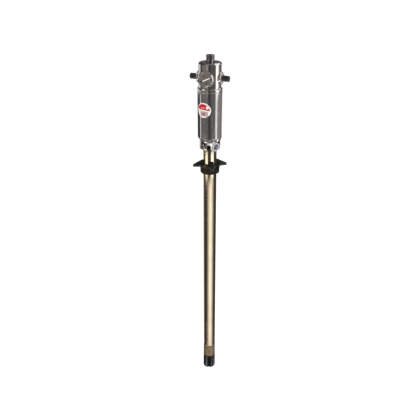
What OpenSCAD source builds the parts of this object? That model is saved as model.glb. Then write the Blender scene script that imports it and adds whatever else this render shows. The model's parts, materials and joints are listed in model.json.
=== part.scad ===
// Air-operated drum pump. The origin is on the pump's axis, where the adapter's flange sits on the drum.
// Turns are degrees from the front (-Y) towards the right (+X). Heights are along +Z.

/* [Drum adapter] */
// Diameter over the crests of the adapter's thread
thread_d = 59.6; // [55:0.1:72]
// Pitch of the adapter's thread
thread_pitch = 2.309; // [2:0.001:3]
// Number of thread crests below the flange
thread_turns = 8; // [5:1:12]
// Diameter of the adapter's hub
hub_d = 64; // [60:0.5:78]
// Height of the adapter's hub above the drum
hub_h = 8; // [8:0.5:14]
// Span from wing tip to wing tip
wing_span = 107; // [90:1:130]
// Height of a wing where it meets the hub
wing_root_h = 19; // [14:0.5:26]
// Height of a wing at its tip
wing_tip_h = 6; // [4:0.5:12]
// Turn of the first wing from the front
wing_turn = 9.5; // [-45:0.5:45]

/* [Suction tube] */
// Outer diameter of the suction tube
tube_d = 42; // [38:0.5:44]
// Wall of the suction tube
tube_wall = 2.5; // [2.2:0.1:3.2]
// Length of the tube above the drum
tube_above = 55.5; // [50:0.5:120]
// Length of the tube below the drum
tube_below = 710; // [300:5:1100]
// Length of the collar between the tube and the foot
collar_l = 49; // [45:1:80]
// Diameter of the foot valve
foot_d = 43; // [42.5:0.5:46]
// Length of the foot valve
foot_l = 57; // [54:1:90]

/* [Air motor] */
// Diameter of the lower housing
housing_d = 64; // [60:1:74]
// Height of the lower housing's straight part
housing_h = 27.5; // [26:0.5:50]
// Height of the cone below the air cylinder
cone_h = 11; // [8:0.5:20]
// Outer diameter of the air cylinder
cylinder_d = 74; // [72:1:90]
// Wall of the air cylinder
cylinder_wall = 6; // [4:0.5:8]
// Stroke of the air piston
stroke = 100; // [60:1:150]
// Height of the air piston
piston_h = 22; // [16:1:40]
// Diameter of the cylinder head
head_d = 68; // [66:1:72]
// Height of the cylinder head
head_h = 70.5; // [66:0.5:90]
// Diameter of the top cap
top_cap_d = 25; // [22:0.5:34]
// Height of the top cap above the head
top_cap_h = 20; // [18:0.5:40]

/* [Head fittings] */
// Height of the cross axis above the bottom of the head
cross_h = 27.4; // [25:0.1:36]
// Turn of the exhaust cap from the front
exhaust_turn = -22.4; // [-45:0.1:45]
// Diameter of the knurled exhaust cap
exhaust_cap_d = 47; // [40:0.5:50]
// Distance from the pump's axis to the exhaust cap's face
exhaust_reach = 37.5; // [36:0.5:46]
// Diameter of the side caps
side_cap_d = 36; // [30:0.5:42]
// Distance from the pump's axis to a side cap's face
side_cap_reach = 38; // [36:0.5:46]
// Diameter of the spring housings
spring_housing_d = 17; // [15:0.5:22]
// Reach of the left spring housing
left_reach = 61.5; // [56:0.5:80]
// Reach of the right spring housing
right_reach = 58.5; // [56:0.5:80]

/* [Ports] */
// Height of the fluid ports above the housing's lower face
port_h = 13.5; // [13:0.1:14]
// Diameter of the outlet bush
outlet_d = 26; // [24:0.5:26]
// Turn of the outlet bush from the front
outlet_turn = 34; // [20:1:60]
// Distance from the pump's axis to the outlet bush's face
outlet_reach = 35; // [34:0.5:44]
// Bore of the outlet thread
outlet_bore = 18.6; // [12:0.1:20]
// Bore of the air inlet thread
inlet_bore = 11.8; // [8:0.1:13]
// Diameter of the two small housing plugs
small_plug_d = 12; // [8:0.5:13]
// Turn of the black vent plug from the front
vent_turn = -6; // [-12:0.5:0]
// Turn of the bleed screw from the front
bleed_turn = -44; // [-60:0.5:-30]

/* [Label] */
// Diameter of the round label
label_d = 43.5; // [30:0.5:60]
// Height of the label's centre above the cylinder's lower edge
label_h = 88; // [60:1:120]
// Turn of the label from the front
label_turn = -32; // [-60:1:60]

/* [Fits] */
// Radial gap of a running fit
running_gap = 0.04; // [0.02:0.01:0.08]
// Radial gap between the tube and the adapter's bore
tube_gap = 0.15; // [0.1:0.05:0.4]
// Gap left where a moving piece stops
stop_gap = 0.3; // [0.2:0.1:1]

/* [Hidden] */
$fn = 96;

// Radii
tube_r = tube_d / 2;
tube_bore_r = tube_r - tube_wall;
adapter_bore_r = tube_r + tube_gap;
housing_r = housing_d / 2;
cylinder_r = cylinder_d / 2;
cylinder_bore_r = cylinder_r - cylinder_wall;
head_r = head_d / 2;
foot_r = foot_d / 2;
joint_r = (tube_r + tube_bore_r) / 2;

// Heights of the fixed pieces
tube_bottom = -tube_below;
foot_top = tube_bottom - collar_l;
foot_bottom = foot_top - foot_l;
spigot_l = 14;
tube_spigot_l = 22;
housing_spigot_l = 12;
head_spigot_l = 8;
bumper_h = 3;
cone_bottom = tube_above + housing_h;
cylinder_bottom = cone_bottom + cone_h;
housing_top = cylinder_bottom + housing_spigot_l;
port_z = tube_above + port_h;

// Heights of the reciprocating pieces at the bottom of the stroke
piston_bottom = housing_top + bumper_h + stop_gap;
piston_top = piston_bottom + piston_h;
nut_h = 10;
nut_lip = 2.3;
nut_top = piston_top + nut_h;
rod_top = nut_top - nut_lip;
cylinder_top = piston_top + stroke + stop_gap + bumper_h + head_spigot_l;
head_spigot_bottom = cylinder_top - head_spigot_l;
head_top = cylinder_top + head_h;
cross_z = cylinder_top + cross_h;
top_cap_top = head_top + top_cap_h;

// O-rings between the fixed pieces
static_seal = 2;
static_groove_h = 2.4;
tube_seal_z = tube_above - 13;
cylinder_seal_z = cylinder_bottom + 5.2;
head_seal_z = cylinder_top - 4;

// Rods
piston_rod_r = 8;
rod_bore_r = 4.5;
trip_rod_r = 3;
trip_collar_r = 4.2;
trip_collar_h = 4;
spool_travel = 8;
connecting_rod_r = 5;
coupling_r = 11;
coupling_l = 32;
coupling_pin_r = 1.5;
rod_bore_depth = stroke + 25;
coupling_top = tube_above + port_h - stroke + 2;
coupling_bottom = coupling_top - coupling_l;
piston_rod_bottom = coupling_top - coupling_l / 2 + 2;
connecting_rod_top = coupling_top - coupling_l / 2 - 2;
trip_collar_top = rod_top - spool_travel - 2 * stop_gap;
trip_rod_bottom = trip_collar_top - trip_collar_h - 4;

// Fluid chamber and rod gland
chamber_r = 17;
gland_r = 12;
gland_flange_r = 16;
gland_flange_h = 4;
chamber_top = housing_top - 18;
tube_spigot_bore_r = 14.5;
seal_pocket_r = 11;
seal_pocket_h = 4;

// Valve in the head
sleeve_r = 10;
sleeve_bore_r = 6;
nut_recess_r = 15;
nut_recess_top = nut_top + stroke + 5;
sleeve_bottom = nut_recess_top;
sleeve_top = head_top - 11.6;
spool_r = sleeve_bore_r - running_gap;
spool_bottom = nut_top + stroke + stop_gap;
spool_top = sleeve_top - 4;
spool_waist_r = 4.2;
detent_pin_r = 2.6;
spool_ridge_r = 4.8;
waist_half = spool_travel + detent_pin_r + 2 * stop_gap;
ridge_half = 1.5;
spool_nut_r = 5;
spool_nut_h = 4;
top_cap_bore_r = 7;

// Snap-over pieces on the cross axis
left_turn = exhaust_turn - 90;
right_turn = exhaust_turn + 90;
inlet_turn = exhaust_turn + 180;
side_neck_r = 9;
side_neck_start = 14;
side_flat = 29;
side_socket_r = 6;
side_socket_start = side_flat + 1;
detent_bore_r = 4 + running_gap;
detent_head_r = 4;
detent_tip = spool_ridge_r + stop_gap;
detent_shoulder = 16;
detent_end = 24;
detent_hole_r = 3;
detent_travel = 3;
spring_wire_r = 0.4;
spring_r = 3.2;
spring_turns = 9;
housing_end_wall = 4;

// Exhaust cap and air inlet
exhaust_flat = 27.2;
exhaust_thread_r = 15;
exhaust_chamber_start = 14;
exhaust_cap_neck = 7;
silencer_h = 5;
exhaust_hole_r = 1.5;
exhaust_hole_ring_r = 10;
coin_slot_w = 2.8;
coin_slot_l = 31;
coin_slot_depth = 2.4;
coin_slot_tilt = 24;
knurl_count = 60;
knurl_depth = 0.9;
inlet_flat = 31;
inlet_start = 17;
air_passage_r = 3;
plug_l = 7;
plug_proud = 0.6;
plug_socket_l = 4;

// Foot valve and plunger
foot_chamber_r = 15;
mouth_r = 17;
mouth_h = 7;
notch_w = 8;
notch_h = 6;
strainer_h = 2;
seat_h = 8;
foot_seat_top = foot_bottom + mouth_h + strainer_h + seat_h;
foot_ball_r = 11;
foot_seat_bore_r = 8.5;
seat_clearance = 0.02;
foot_ball_z = foot_seat_top + sqrt(pow(foot_ball_r, 2) - pow(foot_seat_bore_r, 2)) + seat_clearance;
foot_lift = 6;
foot_pin_r = 2.5;
foot_pin_z = foot_ball_z + foot_ball_r + foot_lift + stop_gap + foot_pin_r;
plunger_r = tube_bore_r - running_gap;
plunger_bottom = foot_top + spigot_l + 6;
plunger_skirt_top = plunger_bottom + 20;
plunger_top = plunger_bottom + 48;
plunger_cage_r = 13;
plunger_chamber_r = 10;
plunger_chamber_top = plunger_top - 12;
plunger_seat_h = 6;
plunger_ball_r = 8;
plunger_seat_bore_r = 6;
plunger_ball_z = plunger_bottom + plunger_seat_h + seat_clearance
    + sqrt(pow(plunger_ball_r, 2) - pow(plunger_seat_bore_r, 2));
plunger_lift = 5;
plunger_pin_r = 2;
plunger_pin_z = plunger_ball_z + plunger_ball_r + plunger_lift + stop_gap + plunger_pin_r;
plunger_window_r = 4.5;
plunger_window_z = plunger_chamber_top - plunger_window_r - 0.5;
rod_socket_l = 10;

// Adapter details
thread_depth = 1.48;
thread_flat = 0.8;
thread_root_flat = 0.2;
thread_lead = 1.5;
thread_bottom = -(thread_turns * thread_pitch + thread_flat);
hub_edge = 3;
wing_root_w = 18;
wing_tip_w = 10;
wing_root_r = tube_r + 1.2;
wing_root_flat = 3;
seal_section = 2.9;
seal_groove_z = -9;
seal_gap = 0.05;
clamp_turn = 45;
clamp_z = 4;
clamp_r = 3;
clamp_head_r = 3.5;
clamp_head_start = 33.5;
clamp_head_l = 5;
clamp_tip = tube_r + 0.1;
clamp_socket_r = 1.6;

// Ring of revolution between two radii and two heights.
module ring(inner_r, outer_r, z0, z1) {
    rotate_extrude()
        translate([inner_r, z0])
            square([outer_r - inner_r, z1 - z0]);
}

// Plain rod between two heights.
module rod(r, z0, z1) {
    translate([0, 0, z0])
        cylinder(r = r, h = z1 - z0);
}

// Round-section ring that sits outside inner_r.
module o_ring(inner_r, section, z) {
    rotate_extrude()
        translate([inner_r + section / 2, z])
            circle(d = section, $fn = 32);
}

// Groove for an O-ring in the outside of a spigot.
module static_groove(spigot_r, z) {
    ring(spigot_r - static_seal, spigot_r + 1, z - static_groove_h / 2, z + static_groove_h / 2);
}

// Places children with +Z pointing out from the pump's axis at a turn and a height.
module radial(turn, z) {
    translate([0, 0, z])
        rotate([90, 0, turn])
            children();
}

// Solid of revolution with a chamfered outer edge at its lower and upper ends.
module chamfered_rod(r, z0, z1, low, high) {
    rotate_extrude()
        polygon([[0, z0], [r - low, z0], [r, z0 + low], [r, z1 - high], [r - high, z1], [0, z1]]);
}

// Hexagon bar measured across its flats.
module hex_bar(across_flats, z0, z1) {
    translate([0, 0, z0])
        cylinder(r = across_flats / 2 / cos(30), h = z1 - z0, $fn = 6);
}

// Thread crests as rings: a flat on each crest and a flat at each root.
module thread_rings() {
    slope = (thread_pitch - thread_flat - thread_root_flat) / 2;
    crest = thread_d / 2;
    root = crest - thread_depth;
    rotate_extrude()
        polygon(concat(
            [[adapter_bore_r, 0]],
            [for (k = [0:thread_turns], p = [
                [crest, -k * thread_pitch],
                [crest, -k * thread_pitch - thread_flat],
                [root, -k * thread_pitch - thread_flat - slope],
                [root, -(k + 1) * thread_pitch + slope]
            ]) if (p[1] >= thread_bottom) p],
            [[root, thread_bottom - thread_lead], [adapter_bore_r, thread_bottom - thread_lead]]
        ));
}

// One wing: a tapered plan cut by a side outline that slopes down to the tip.
module wing() {
    tip_r = wing_span / 2;
    tip_centre = tip_r - wing_tip_w / 2;
    intersection() {
        linear_extrude(wing_root_h) {
            polygon([
                [wing_root_r, -wing_root_w / 2], [tip_centre, -wing_tip_w / 2],
                [tip_centre, wing_tip_w / 2], [wing_root_r, wing_root_w / 2]
            ]);
            translate([tip_centre, 0])
                circle(d = wing_tip_w);
        }
        rotate([90, 0, 0])
            linear_extrude(2 * wing_root_w, center = true)
                polygon([
                    [0, 0], [tip_r, 0], [tip_r, wing_tip_h],
                    [wing_root_r + wing_root_flat, wing_root_h], [0, wing_root_h]
                ]);
    }
}

module bung_adapter() {
    color("dimgray")
        difference() {
            union() {
                thread_rings();
                rotate_extrude()
                    polygon([
                        [adapter_bore_r, 0], [hub_d / 2, 0], [hub_d / 2, hub_h - hub_edge],
                        [hub_d / 2 - hub_edge, hub_h], [adapter_bore_r, hub_h]
                    ]);
                for (k = [0:3])
                    rotate([0, 0, wing_turn - 90 + 90 * k])
                        wing();
            }
            rod(adapter_bore_r, thread_bottom - thread_lead - 1, wing_root_h + 1);
            seal_half = seal_section / 2 + stop_gap / 2;
            ring(adapter_bore_r - 1, tube_r + seal_section + 3 * seal_gap,
                seal_groove_z - seal_half, seal_groove_z + seal_half);
            radial(clamp_turn, clamp_z)
                rod(clamp_r + running_gap, tube_r - 1, hub_d);
        }
}

module tube_seal_ring() {
    color("black")
        o_ring(tube_r + seal_gap, seal_section, seal_groove_z);
}

module clamp_screw() {
    color("dimgray")
        radial(clamp_turn, clamp_z)
            difference() {
                union() {
                    rod(clamp_r, clamp_tip, clamp_head_start);
                    rod(clamp_head_r, clamp_head_start, clamp_head_start + clamp_head_l);
                }
                hex_bar(2 * clamp_socket_r, clamp_head_start + 2, clamp_head_start + clamp_head_l + 1);
            }
}

module suction_tube() {
    color("darkkhaki")
        difference() {
            ring(tube_bore_r, tube_r, tube_bottom, tube_above);
            rod(joint_r, tube_bottom - 1, tube_bottom + spigot_l);
        }
}

module lower_collar() {
    color("rosybrown")
        difference() {
            union() {
                ring(tube_bore_r, tube_r, foot_top, tube_bottom);
                ring(tube_bore_r, joint_r, tube_bottom - 1, tube_bottom + spigot_l);
            }
            rod(joint_r, foot_top - 1, foot_top + spigot_l);
        }
}

module foot_valve_body() {
    shoulder = foot_seat_top;
    color("black")
        difference() {
            union() {
                chamfered_rod(foot_r, foot_bottom, foot_top, 3, 0.8);
                rod(joint_r, foot_top - 1, foot_top + spigot_l);
            }
            rod(mouth_r, foot_bottom - 1, shoulder);
            rod(foot_chamber_r, shoulder - 1, foot_top + spigot_l + 1);
            translate([-notch_w / 2, -foot_r - 1, foot_bottom - 1])
                cube([notch_w, foot_d + 2, notch_h + 1]);
            rotate([90, 0, 90])
                translate([0, foot_pin_z, -foot_r - 1])
                    cylinder(r = foot_pin_r, h = foot_d + 2);
        }
}

module foot_seat() {
    color("silver")
        ring(foot_seat_bore_r, mouth_r, foot_seat_top - seat_h, foot_seat_top);
}

module foot_stop_pin() {
    pin_l = 2 * sqrt(pow(foot_r, 2) - pow(foot_pin_r, 2)) - 0.4;
    color("silver")
        rotate([90, 0, 90])
            translate([0, foot_pin_z, -pin_l / 2])
                cylinder(r = foot_pin_r, h = pin_l);
}

module foot_strainer() {
    hole_r = 1.5;
    ring_step = 4.8;
    z0 = foot_bottom + mouth_h;
    color("silver")
        difference() {
            rod(mouth_r, z0, z0 + strainer_h);
            rod(hole_r, z0 - 1, z0 + strainer_h + 1);
            for (row = [1:3], k = [0:6 * row - 1])
                rotate([0, 0, k * 60 / row])
                    translate([row * ring_step, 0, 0])
                        rod(hole_r, z0 - 1, z0 + strainer_h + 1);
        }
}

module foot_ball() {
    color("silver")
        translate([0, 0, foot_ball_z])
            sphere(r = foot_ball_r);
}

module lower_housing() {
    bottom_chamfer = 4;
    spigot_r = cylinder_bore_r;
    color("silver")
        difference() {
            union() {
                rotate_extrude()
                    polygon([
                        [0, tube_above], [housing_r - bottom_chamfer, tube_above],
                        [housing_r, tube_above + bottom_chamfer], [housing_r, cone_bottom],
                        [cylinder_r, cylinder_bottom], [spigot_r, cylinder_bottom], [spigot_r, housing_top],
                        [0, housing_top]
                    ]);
                rod(tube_bore_r, tube_above - tube_spigot_l, tube_above + 1);
            }
            rod(tube_spigot_bore_r, tube_above - tube_spigot_l - 1, tube_above + 1);
            rod(chamber_r, tube_above, chamber_top);
            rod(gland_r, chamber_top - 1, housing_top + 1);
            static_groove(spigot_r, cylinder_seal_z);
            static_groove(tube_bore_r, tube_seal_z);
            radial(outlet_turn, port_z) {
                rod(outlet_d / 2, housing_r - 5, cylinder_d);
                rod(outlet_bore / 2 + 1.2, chamber_r + 2, housing_r);
                rod(outlet_bore / 2 - 3, 10, housing_r);
            }
            radial(vent_turn, port_z)
                rod(small_plug_d / 2, housing_r - plug_l, cylinder_d);
            radial(bleed_turn, port_z)
                rod(small_plug_d / 2, housing_r - plug_l, cylinder_d);
        }
}

module tube_o_ring() {
    color("black")
        o_ring(tube_bore_r - static_seal, static_seal, tube_seal_z);
}

module cylinder_o_ring() {
    color("black")
        o_ring(cylinder_bore_r - static_seal, static_seal, cylinder_seal_z);
}

module lower_bumper() {
    color("black")
        ring(18, cylinder_bore_r - 2, housing_top, housing_top + bumper_h);
}

module rod_gland() {
    flange_bottom = chamber_top - gland_flange_h;
    color("peru")
        difference() {
            union() {
                rod(gland_r, chamber_top - 1, housing_top);
                rod(gland_flange_r, flange_bottom, chamber_top);
            }
            rod(piston_rod_r + running_gap, flange_bottom - 1, housing_top + 1);
            rod(seal_pocket_r, housing_top - seal_pocket_h, housing_top + 1);
            rod(seal_pocket_r, flange_bottom - 1, flange_bottom + seal_pocket_h);
        }
}

module air_rod_seal() {
    color("black")
        ring(piston_rod_r + running_gap, seal_pocket_r, housing_top - seal_pocket_h, housing_top - 0.5);
}

module fluid_rod_seal() {
    flange_bottom = chamber_top - gland_flange_h;
    color("black")
        ring(piston_rod_r + running_gap, seal_pocket_r, flange_bottom + 0.5, flange_bottom + seal_pocket_h);
}

module outlet_bush() {
    shank_r = outlet_bore / 2 + 1.2;
    color("lightsteelblue")
        radial(outlet_turn, port_z)
            difference() {
                union() {
                    chamfered_rod(outlet_d / 2, housing_r - 5, outlet_reach, 0, 1);
                    rod(shank_r, chamber_r + 2, housing_r - 5);
                }
                rod(outlet_bore / 2, chamber_r + 3, outlet_reach + 1);
                rod(outlet_bore / 2 - 3, chamber_r, outlet_reach);
            }
}

// Small housing plug with a hexagon socket in its face.
module small_plug(turn, socket) {
    radial(turn, port_z)
        difference() {
            chamfered_rod(small_plug_d / 2, housing_r - plug_l, housing_r + plug_proud, 0, plug_proud);
            hex_bar(socket, housing_r - plug_socket_l, housing_r + 2 * plug_proud);
        }
}

module vent_plug() {
    color("black")
        small_plug(vent_turn, small_plug_d * 0.6);
}

module bleed_screw() {
    color("silver")
        small_plug(bleed_turn, small_plug_d * 0.42);
}

module air_cylinder() {
    rim = 2.5;
    groove_top = cylinder_top - 9.8;
    color("gainsboro")
        difference() {
            chamfered_rod(cylinder_r, cylinder_bottom, cylinder_top, 0, rim);
            rod(cylinder_bore_r, cylinder_bottom - 1, cylinder_top + 1);
            ring(cylinder_r - 0.8, cylinder_r + 1, groove_top - 1.6, groove_top);
        }
}

module label() {
    thickness = 0.3;
    color("white")
        intersection() {
            ring(cylinder_r, cylinder_r + thickness, cylinder_bottom, cylinder_top);
            radial(label_turn, cylinder_bottom + label_h)
                rod(label_d / 2, cylinder_r / 2, cylinder_d);
        }
}

module cylinder_head() {
    edge = 3.5;
    spigot_r = cylinder_bore_r;
    color("gainsboro")
        difference() {
            union() {
                chamfered_rod(head_r, cylinder_top, head_top, 0, edge);
                rod(spigot_r, head_spigot_bottom, cylinder_top + 1);
            }
            static_groove(spigot_r, head_seal_z);
            rod(nut_recess_r, head_spigot_bottom - 1, nut_recess_top);
            rod(sleeve_r, nut_recess_top - 1, head_top + 1);
            radial(exhaust_turn, cross_z) {
                rod(exhaust_cap_d / 2 + 0.4, exhaust_flat, head_d);
                rod(exhaust_thread_r, exhaust_chamber_start, head_d);
                rod(air_passage_r, sleeve_r - 2, head_r);
            }
            for (turn = [left_turn, right_turn])
                radial(turn, cross_z) {
                    rod(side_cap_d / 2 + 0.4, side_flat, head_d);
                    rod(side_neck_r, side_neck_start, head_d);
                    rod(detent_hole_r, sleeve_r - 2, head_r);
                }
            radial(inlet_turn, cross_z) {
                rod(inlet_bore / 2 + 6, inlet_flat, head_d);
                rod(inlet_bore / 2, inlet_start, head_d);
                rod(air_passage_r, sleeve_r - 2, head_r);
            }
        }
}

module head_o_ring() {
    color("black")
        o_ring(cylinder_bore_r - static_seal, static_seal, head_seal_z);
}

module upper_bumper() {
    color("black")
        ring(18, cylinder_bore_r - 2, head_spigot_bottom - bumper_h, head_spigot_bottom);
}

module top_cap() {
    color("dimgray")
        difference() {
            union() {
                rod(sleeve_r, sleeve_top, head_top + 1);
                chamfered_rod(top_cap_d / 2, head_top, top_cap_top, 0, 2);
            }
            rod(top_cap_bore_r, sleeve_top - 1, top_cap_top - 4);
        }
}

module valve_sleeve() {
    port_r = 2;
    port_rows = 16;
    color("silver")
        difference() {
            ring(sleeve_bore_r, sleeve_r, sleeve_bottom, sleeve_top);
            for (k = [0:3]) {
                radial(exhaust_turn + 90 * k, cross_z)
                    rod(detent_hole_r, sleeve_bore_r - 1, sleeve_r + 1);
                for (row = [-1, 1])
                    radial(exhaust_turn + 90 * k, cross_z + row * port_rows)
                        rod(port_r, sleeve_bore_r - 1, sleeve_r + 1);
            }
        }
}

module exhaust_cap() {
    rim_chamfer = 1.2;
    cap_r = exhaust_cap_d / 2;
    color("silver")
        radial(exhaust_turn, cross_z)
            difference() {
                union() {
                    chamfered_rod(cap_r, exhaust_flat, exhaust_reach, 0, rim_chamfer);
                    rod(exhaust_thread_r, exhaust_flat - exhaust_cap_neck, exhaust_flat + 1);
                }
                rod(exhaust_thread_r - 3, exhaust_flat - exhaust_cap_neck - 1, exhaust_reach - 4);
                rotate([0, 0, coin_slot_tilt])
                    translate([-coin_slot_l / 2, -coin_slot_w / 2, exhaust_reach - coin_slot_depth])
                        cube([coin_slot_l, coin_slot_w, coin_slot_depth + 1]);
                for (k = [0:1])
                    rotate([0, 0, coin_slot_tilt + 90 + 180 * k])
                        translate([exhaust_hole_ring_r, 0, 0])
                            rod(exhaust_hole_r, exhaust_reach - 5, exhaust_reach + 1);
                for (k = [0:knurl_count - 1])
                    rotate([0, 0, k * 360 / knurl_count])
                        translate([cap_r, 0, exhaust_flat - 1])
                            rotate([0, 0, 45])
                                translate([-knurl_depth / 2, -knurl_depth / 2, 0])
                                    cube([knurl_depth, knurl_depth, exhaust_cap_d]);
            }
}

module silencer_disc() {
    start = exhaust_chamber_start;
    color("peru")
        radial(exhaust_turn, cross_z)
            rod(exhaust_thread_r, start, start + silencer_h);
}

// Round cap screwed into the head's side, bored for the detent plunger.
module side_cap(turn) {
    radial(turn, cross_z)
        difference() {
            union() {
                chamfered_rod(side_cap_d / 2, side_flat, side_cap_reach, 0, 2);
                rod(side_neck_r, side_neck_start, side_flat + 1);
            }
            rod(detent_bore_r, side_neck_start - 1, side_cap_reach);
            rod(side_socket_r, side_socket_start, side_cap_reach + 1);
        }
}

module left_side_cap() {
    color("silver")
        side_cap(left_turn);
}

module right_side_cap() {
    color("silver")
        side_cap(right_turn);
}

// Closed black tube that holds the detent spring.
module spring_housing(turn, reach) {
    radial(turn, cross_z)
        difference() {
            union() {
                rod(side_socket_r, side_socket_start, side_cap_reach + 1);
                chamfered_rod(spring_housing_d / 2, side_cap_reach, reach, 0, 1);
            }
            rod(detent_bore_r, side_socket_start - 1, reach - housing_end_wall);
        }
}

module left_spring_housing() {
    color("black")
        spring_housing(left_turn, left_reach);
}

module right_spring_housing() {
    color("black")
        spring_housing(right_turn, right_reach);
}

// Helical spring: a small hexagonal section swept round a helix from one height to another.
module helical_spring(r, wire_r, z0, z1, turns) {
    sides = 6;
    steps = 16 * turns;
    rise = z1 - z0 - 2 * wire_r;
    rings = [for (i = [0:steps], j = [0:sides - 1])
        let (
            a = 360 * turns * i / steps,
            b = 360 * j / sides,
            reach = r + wire_r * cos(b)
        )
        [reach * cos(a), reach * sin(a), z0 + wire_r + rise * i / steps + wire_r * sin(b)]
    ];
    walls = [for (i = [0:steps - 1], j = [0:sides - 1])
        let (next = (j + 1) % sides)
        [i * sides + j, i * sides + next, (i + 1) * sides + next, (i + 1) * sides + j]
    ];
    first = [for (j = [0:sides - 1]) sides - 1 - j];
    last = [for (j = [0:sides - 1]) steps * sides + j];
    polyhedron(rings, concat(walls, [first], [last]));
}

module detent_spring(turn, reach) {
    radial(turn, cross_z)
        helical_spring(spring_r, spring_wire_r, detent_end, reach - housing_end_wall, spring_turns);
}

module left_detent_spring() {
    color("gray")
        detent_spring(left_turn, left_reach);
}

module right_detent_spring() {
    color("gray")
        detent_spring(right_turn, right_reach);
}

// Plunger whose round nose rests beside the ridge of the spool.
module detent_plunger(turn) {
    nose = 1;
    radial(turn, cross_z)
        rotate_extrude()
            polygon([
                [0, detent_tip], [detent_pin_r - nose, detent_tip], [detent_pin_r, detent_tip + nose],
                [detent_pin_r, detent_shoulder], [detent_head_r, detent_shoulder],
                [detent_head_r, detent_end], [0, detent_end]
            ]);
}

module left_detent_plunger() {
    color("silver")
        detent_plunger(left_turn);
}

module right_detent_plunger() {
    color("silver")
        detent_plunger(right_turn);
}

// Heights of the four seal grooves on the spool.
spool_groove_z = [
    spool_bottom + 8, spool_bottom + 13, spool_top - 12, spool_top - 6
];
spool_seal_section = 1.4;

module valve_spool() {
    groove_r = spool_r - spool_seal_section;
    ridge_z = cross_z - spool_travel / 2;
    color("goldenrod")
        difference() {
            rotate_extrude()
                polygon([
                    [trip_rod_r, spool_bottom], [spool_r, spool_bottom], [spool_r, cross_z - waist_half],
                    [spool_waist_r, cross_z - waist_half], [spool_waist_r, ridge_z - ridge_half],
                    [spool_ridge_r, ridge_z], [spool_waist_r, ridge_z + ridge_half],
                    [spool_waist_r, cross_z + waist_half], [spool_r, cross_z + waist_half],
                    [spool_r, spool_top], [trip_rod_r, spool_top]
                ]);
            for (z = spool_groove_z)
                ring(groove_r, spool_r + 1, z - spool_seal_section / 2, z + spool_seal_section / 2);
        }
}

module spool_seals() {
    color("black")
        for (z = spool_groove_z)
            o_ring(spool_r - spool_seal_section, spool_seal_section, z);
}

module spool_nut() {
    color("silver")
        difference() {
            hex_bar(2 * spool_nut_r * cos(30), spool_top, spool_top + spool_nut_h);
            rod(trip_rod_r, spool_top - 1, spool_top + spool_nut_h + 1);
        }
}

module trip_rod() {
    color("silver")
        rod(trip_rod_r, trip_rod_bottom, spool_top + spool_nut_h + 1.5);
}

module trip_collar() {
    color("goldenrod")
        ring(trip_rod_r, trip_collar_r, trip_collar_top - trip_collar_h, trip_collar_top);
}

// Heights of the grooves in the air piston, from its lower face.
piston_r = cylinder_bore_r - running_gap;
piston_seal_z = piston_top - 6;
piston_seal_section = 3.6;
guide_z0 = piston_bottom + 4;
guide_h = 6;
guide_t = 2;

module air_piston() {
    seal_half = piston_seal_section / 2;
    color("lightgray")
        difference() {
            rod(piston_r, piston_bottom, piston_top);
            rod(piston_rod_r, piston_bottom - 1, piston_top + 1);
            ring(piston_r - piston_seal_section, piston_r + 1,
                piston_seal_z - seal_half, piston_seal_z + seal_half);
            ring(piston_r - guide_t, piston_r + 1, guide_z0, guide_z0 + guide_h);
        }
}

module piston_seal() {
    color("black")
        o_ring(piston_r - piston_seal_section, piston_seal_section, piston_seal_z);
}

module piston_guide_ring() {
    color("white")
        ring(piston_r - guide_t, piston_r, guide_z0, guide_z0 + guide_h);
}

module piston_nut() {
    across_flats = 24;
    color("silver")
        difference() {
            hex_bar(across_flats, piston_top, nut_top);
            rod(piston_rod_r, piston_top - 1, rod_top);
            rod(trip_rod_r + stop_gap, piston_top, nut_top + 1);
        }
}

module piston_rod() {
    color("gainsboro")
        difference() {
            rod(piston_rod_r, piston_rod_bottom, rod_top);
            rod(rod_bore_r, rod_top - rod_bore_depth, rod_top + 1);
            coupling_pin_holes();
        }
}

// Cross holes, and the pins that fill them, one through each rod end.
module coupling_pin_holes() {
    for (z = [coupling_top - 7, coupling_bottom + 7])
        translate([0, 0, z])
            rotate([90, 0, 0])
                cylinder(r = coupling_pin_r, h = 2 * coupling_r - 1, center = true);
}

module rod_coupling() {
    color("silver")
        difference() {
            chamfered_rod(coupling_r, coupling_bottom, coupling_top, 1.5, 1.5);
            rod(piston_rod_r, piston_rod_bottom, coupling_top + 1);
            rod(connecting_rod_r, coupling_bottom - 1, connecting_rod_top);
            coupling_pin_holes();
        }
}

module coupling_pins() {
    color("gray")
        coupling_pin_holes();
}

module connecting_rod() {
    color("gainsboro")
        difference() {
            rod(connecting_rod_r, plunger_top - rod_socket_l, connecting_rod_top);
            coupling_pin_holes();
        }
}

plunger_seal_section = 3;
plunger_seal_z = [plunger_bottom + 7, plunger_bottom + 14];

module plunger() {
    seal_half = plunger_seal_section / 2;
    color("silver")
        difference() {
            union() {
                rod(plunger_r, plunger_bottom, plunger_skirt_top);
                chamfered_rod(plunger_cage_r, plunger_skirt_top - 1, plunger_top, 0, 2);
            }
            rod(plunger_chamber_r, plunger_bottom - 1, plunger_chamber_top);
            rod(connecting_rod_r, plunger_top - rod_socket_l, plunger_top + 1);
            for (z = plunger_seal_z)
                ring(plunger_r - plunger_seal_section, plunger_r + 1, z - seal_half, z + seal_half);
            for (k = [0:3])
                radial(45 + 90 * k, plunger_window_z)
                    rod(plunger_window_r, 0, plunger_r);
            rotate([90, 0, 90])
                translate([0, plunger_pin_z, -plunger_r])
                    cylinder(r = plunger_pin_r, h = 2 * plunger_r);
        }
}

module plunger_seals() {
    color("white")
        for (z = plunger_seal_z)
            o_ring(plunger_r - plunger_seal_section, plunger_seal_section, z);
}

module plunger_seat() {
    color("silver")
        ring(plunger_seat_bore_r, plunger_chamber_r, plunger_bottom, plunger_bottom + plunger_seat_h);
}

module plunger_stop_pin() {
    pin_l = 2 * plunger_cage_r - 1;
    color("silver")
        rotate([90, 0, 90])
            translate([0, plunger_pin_z, -pin_l / 2])
                cylinder(r = plunger_pin_r, h = pin_l);
}

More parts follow.
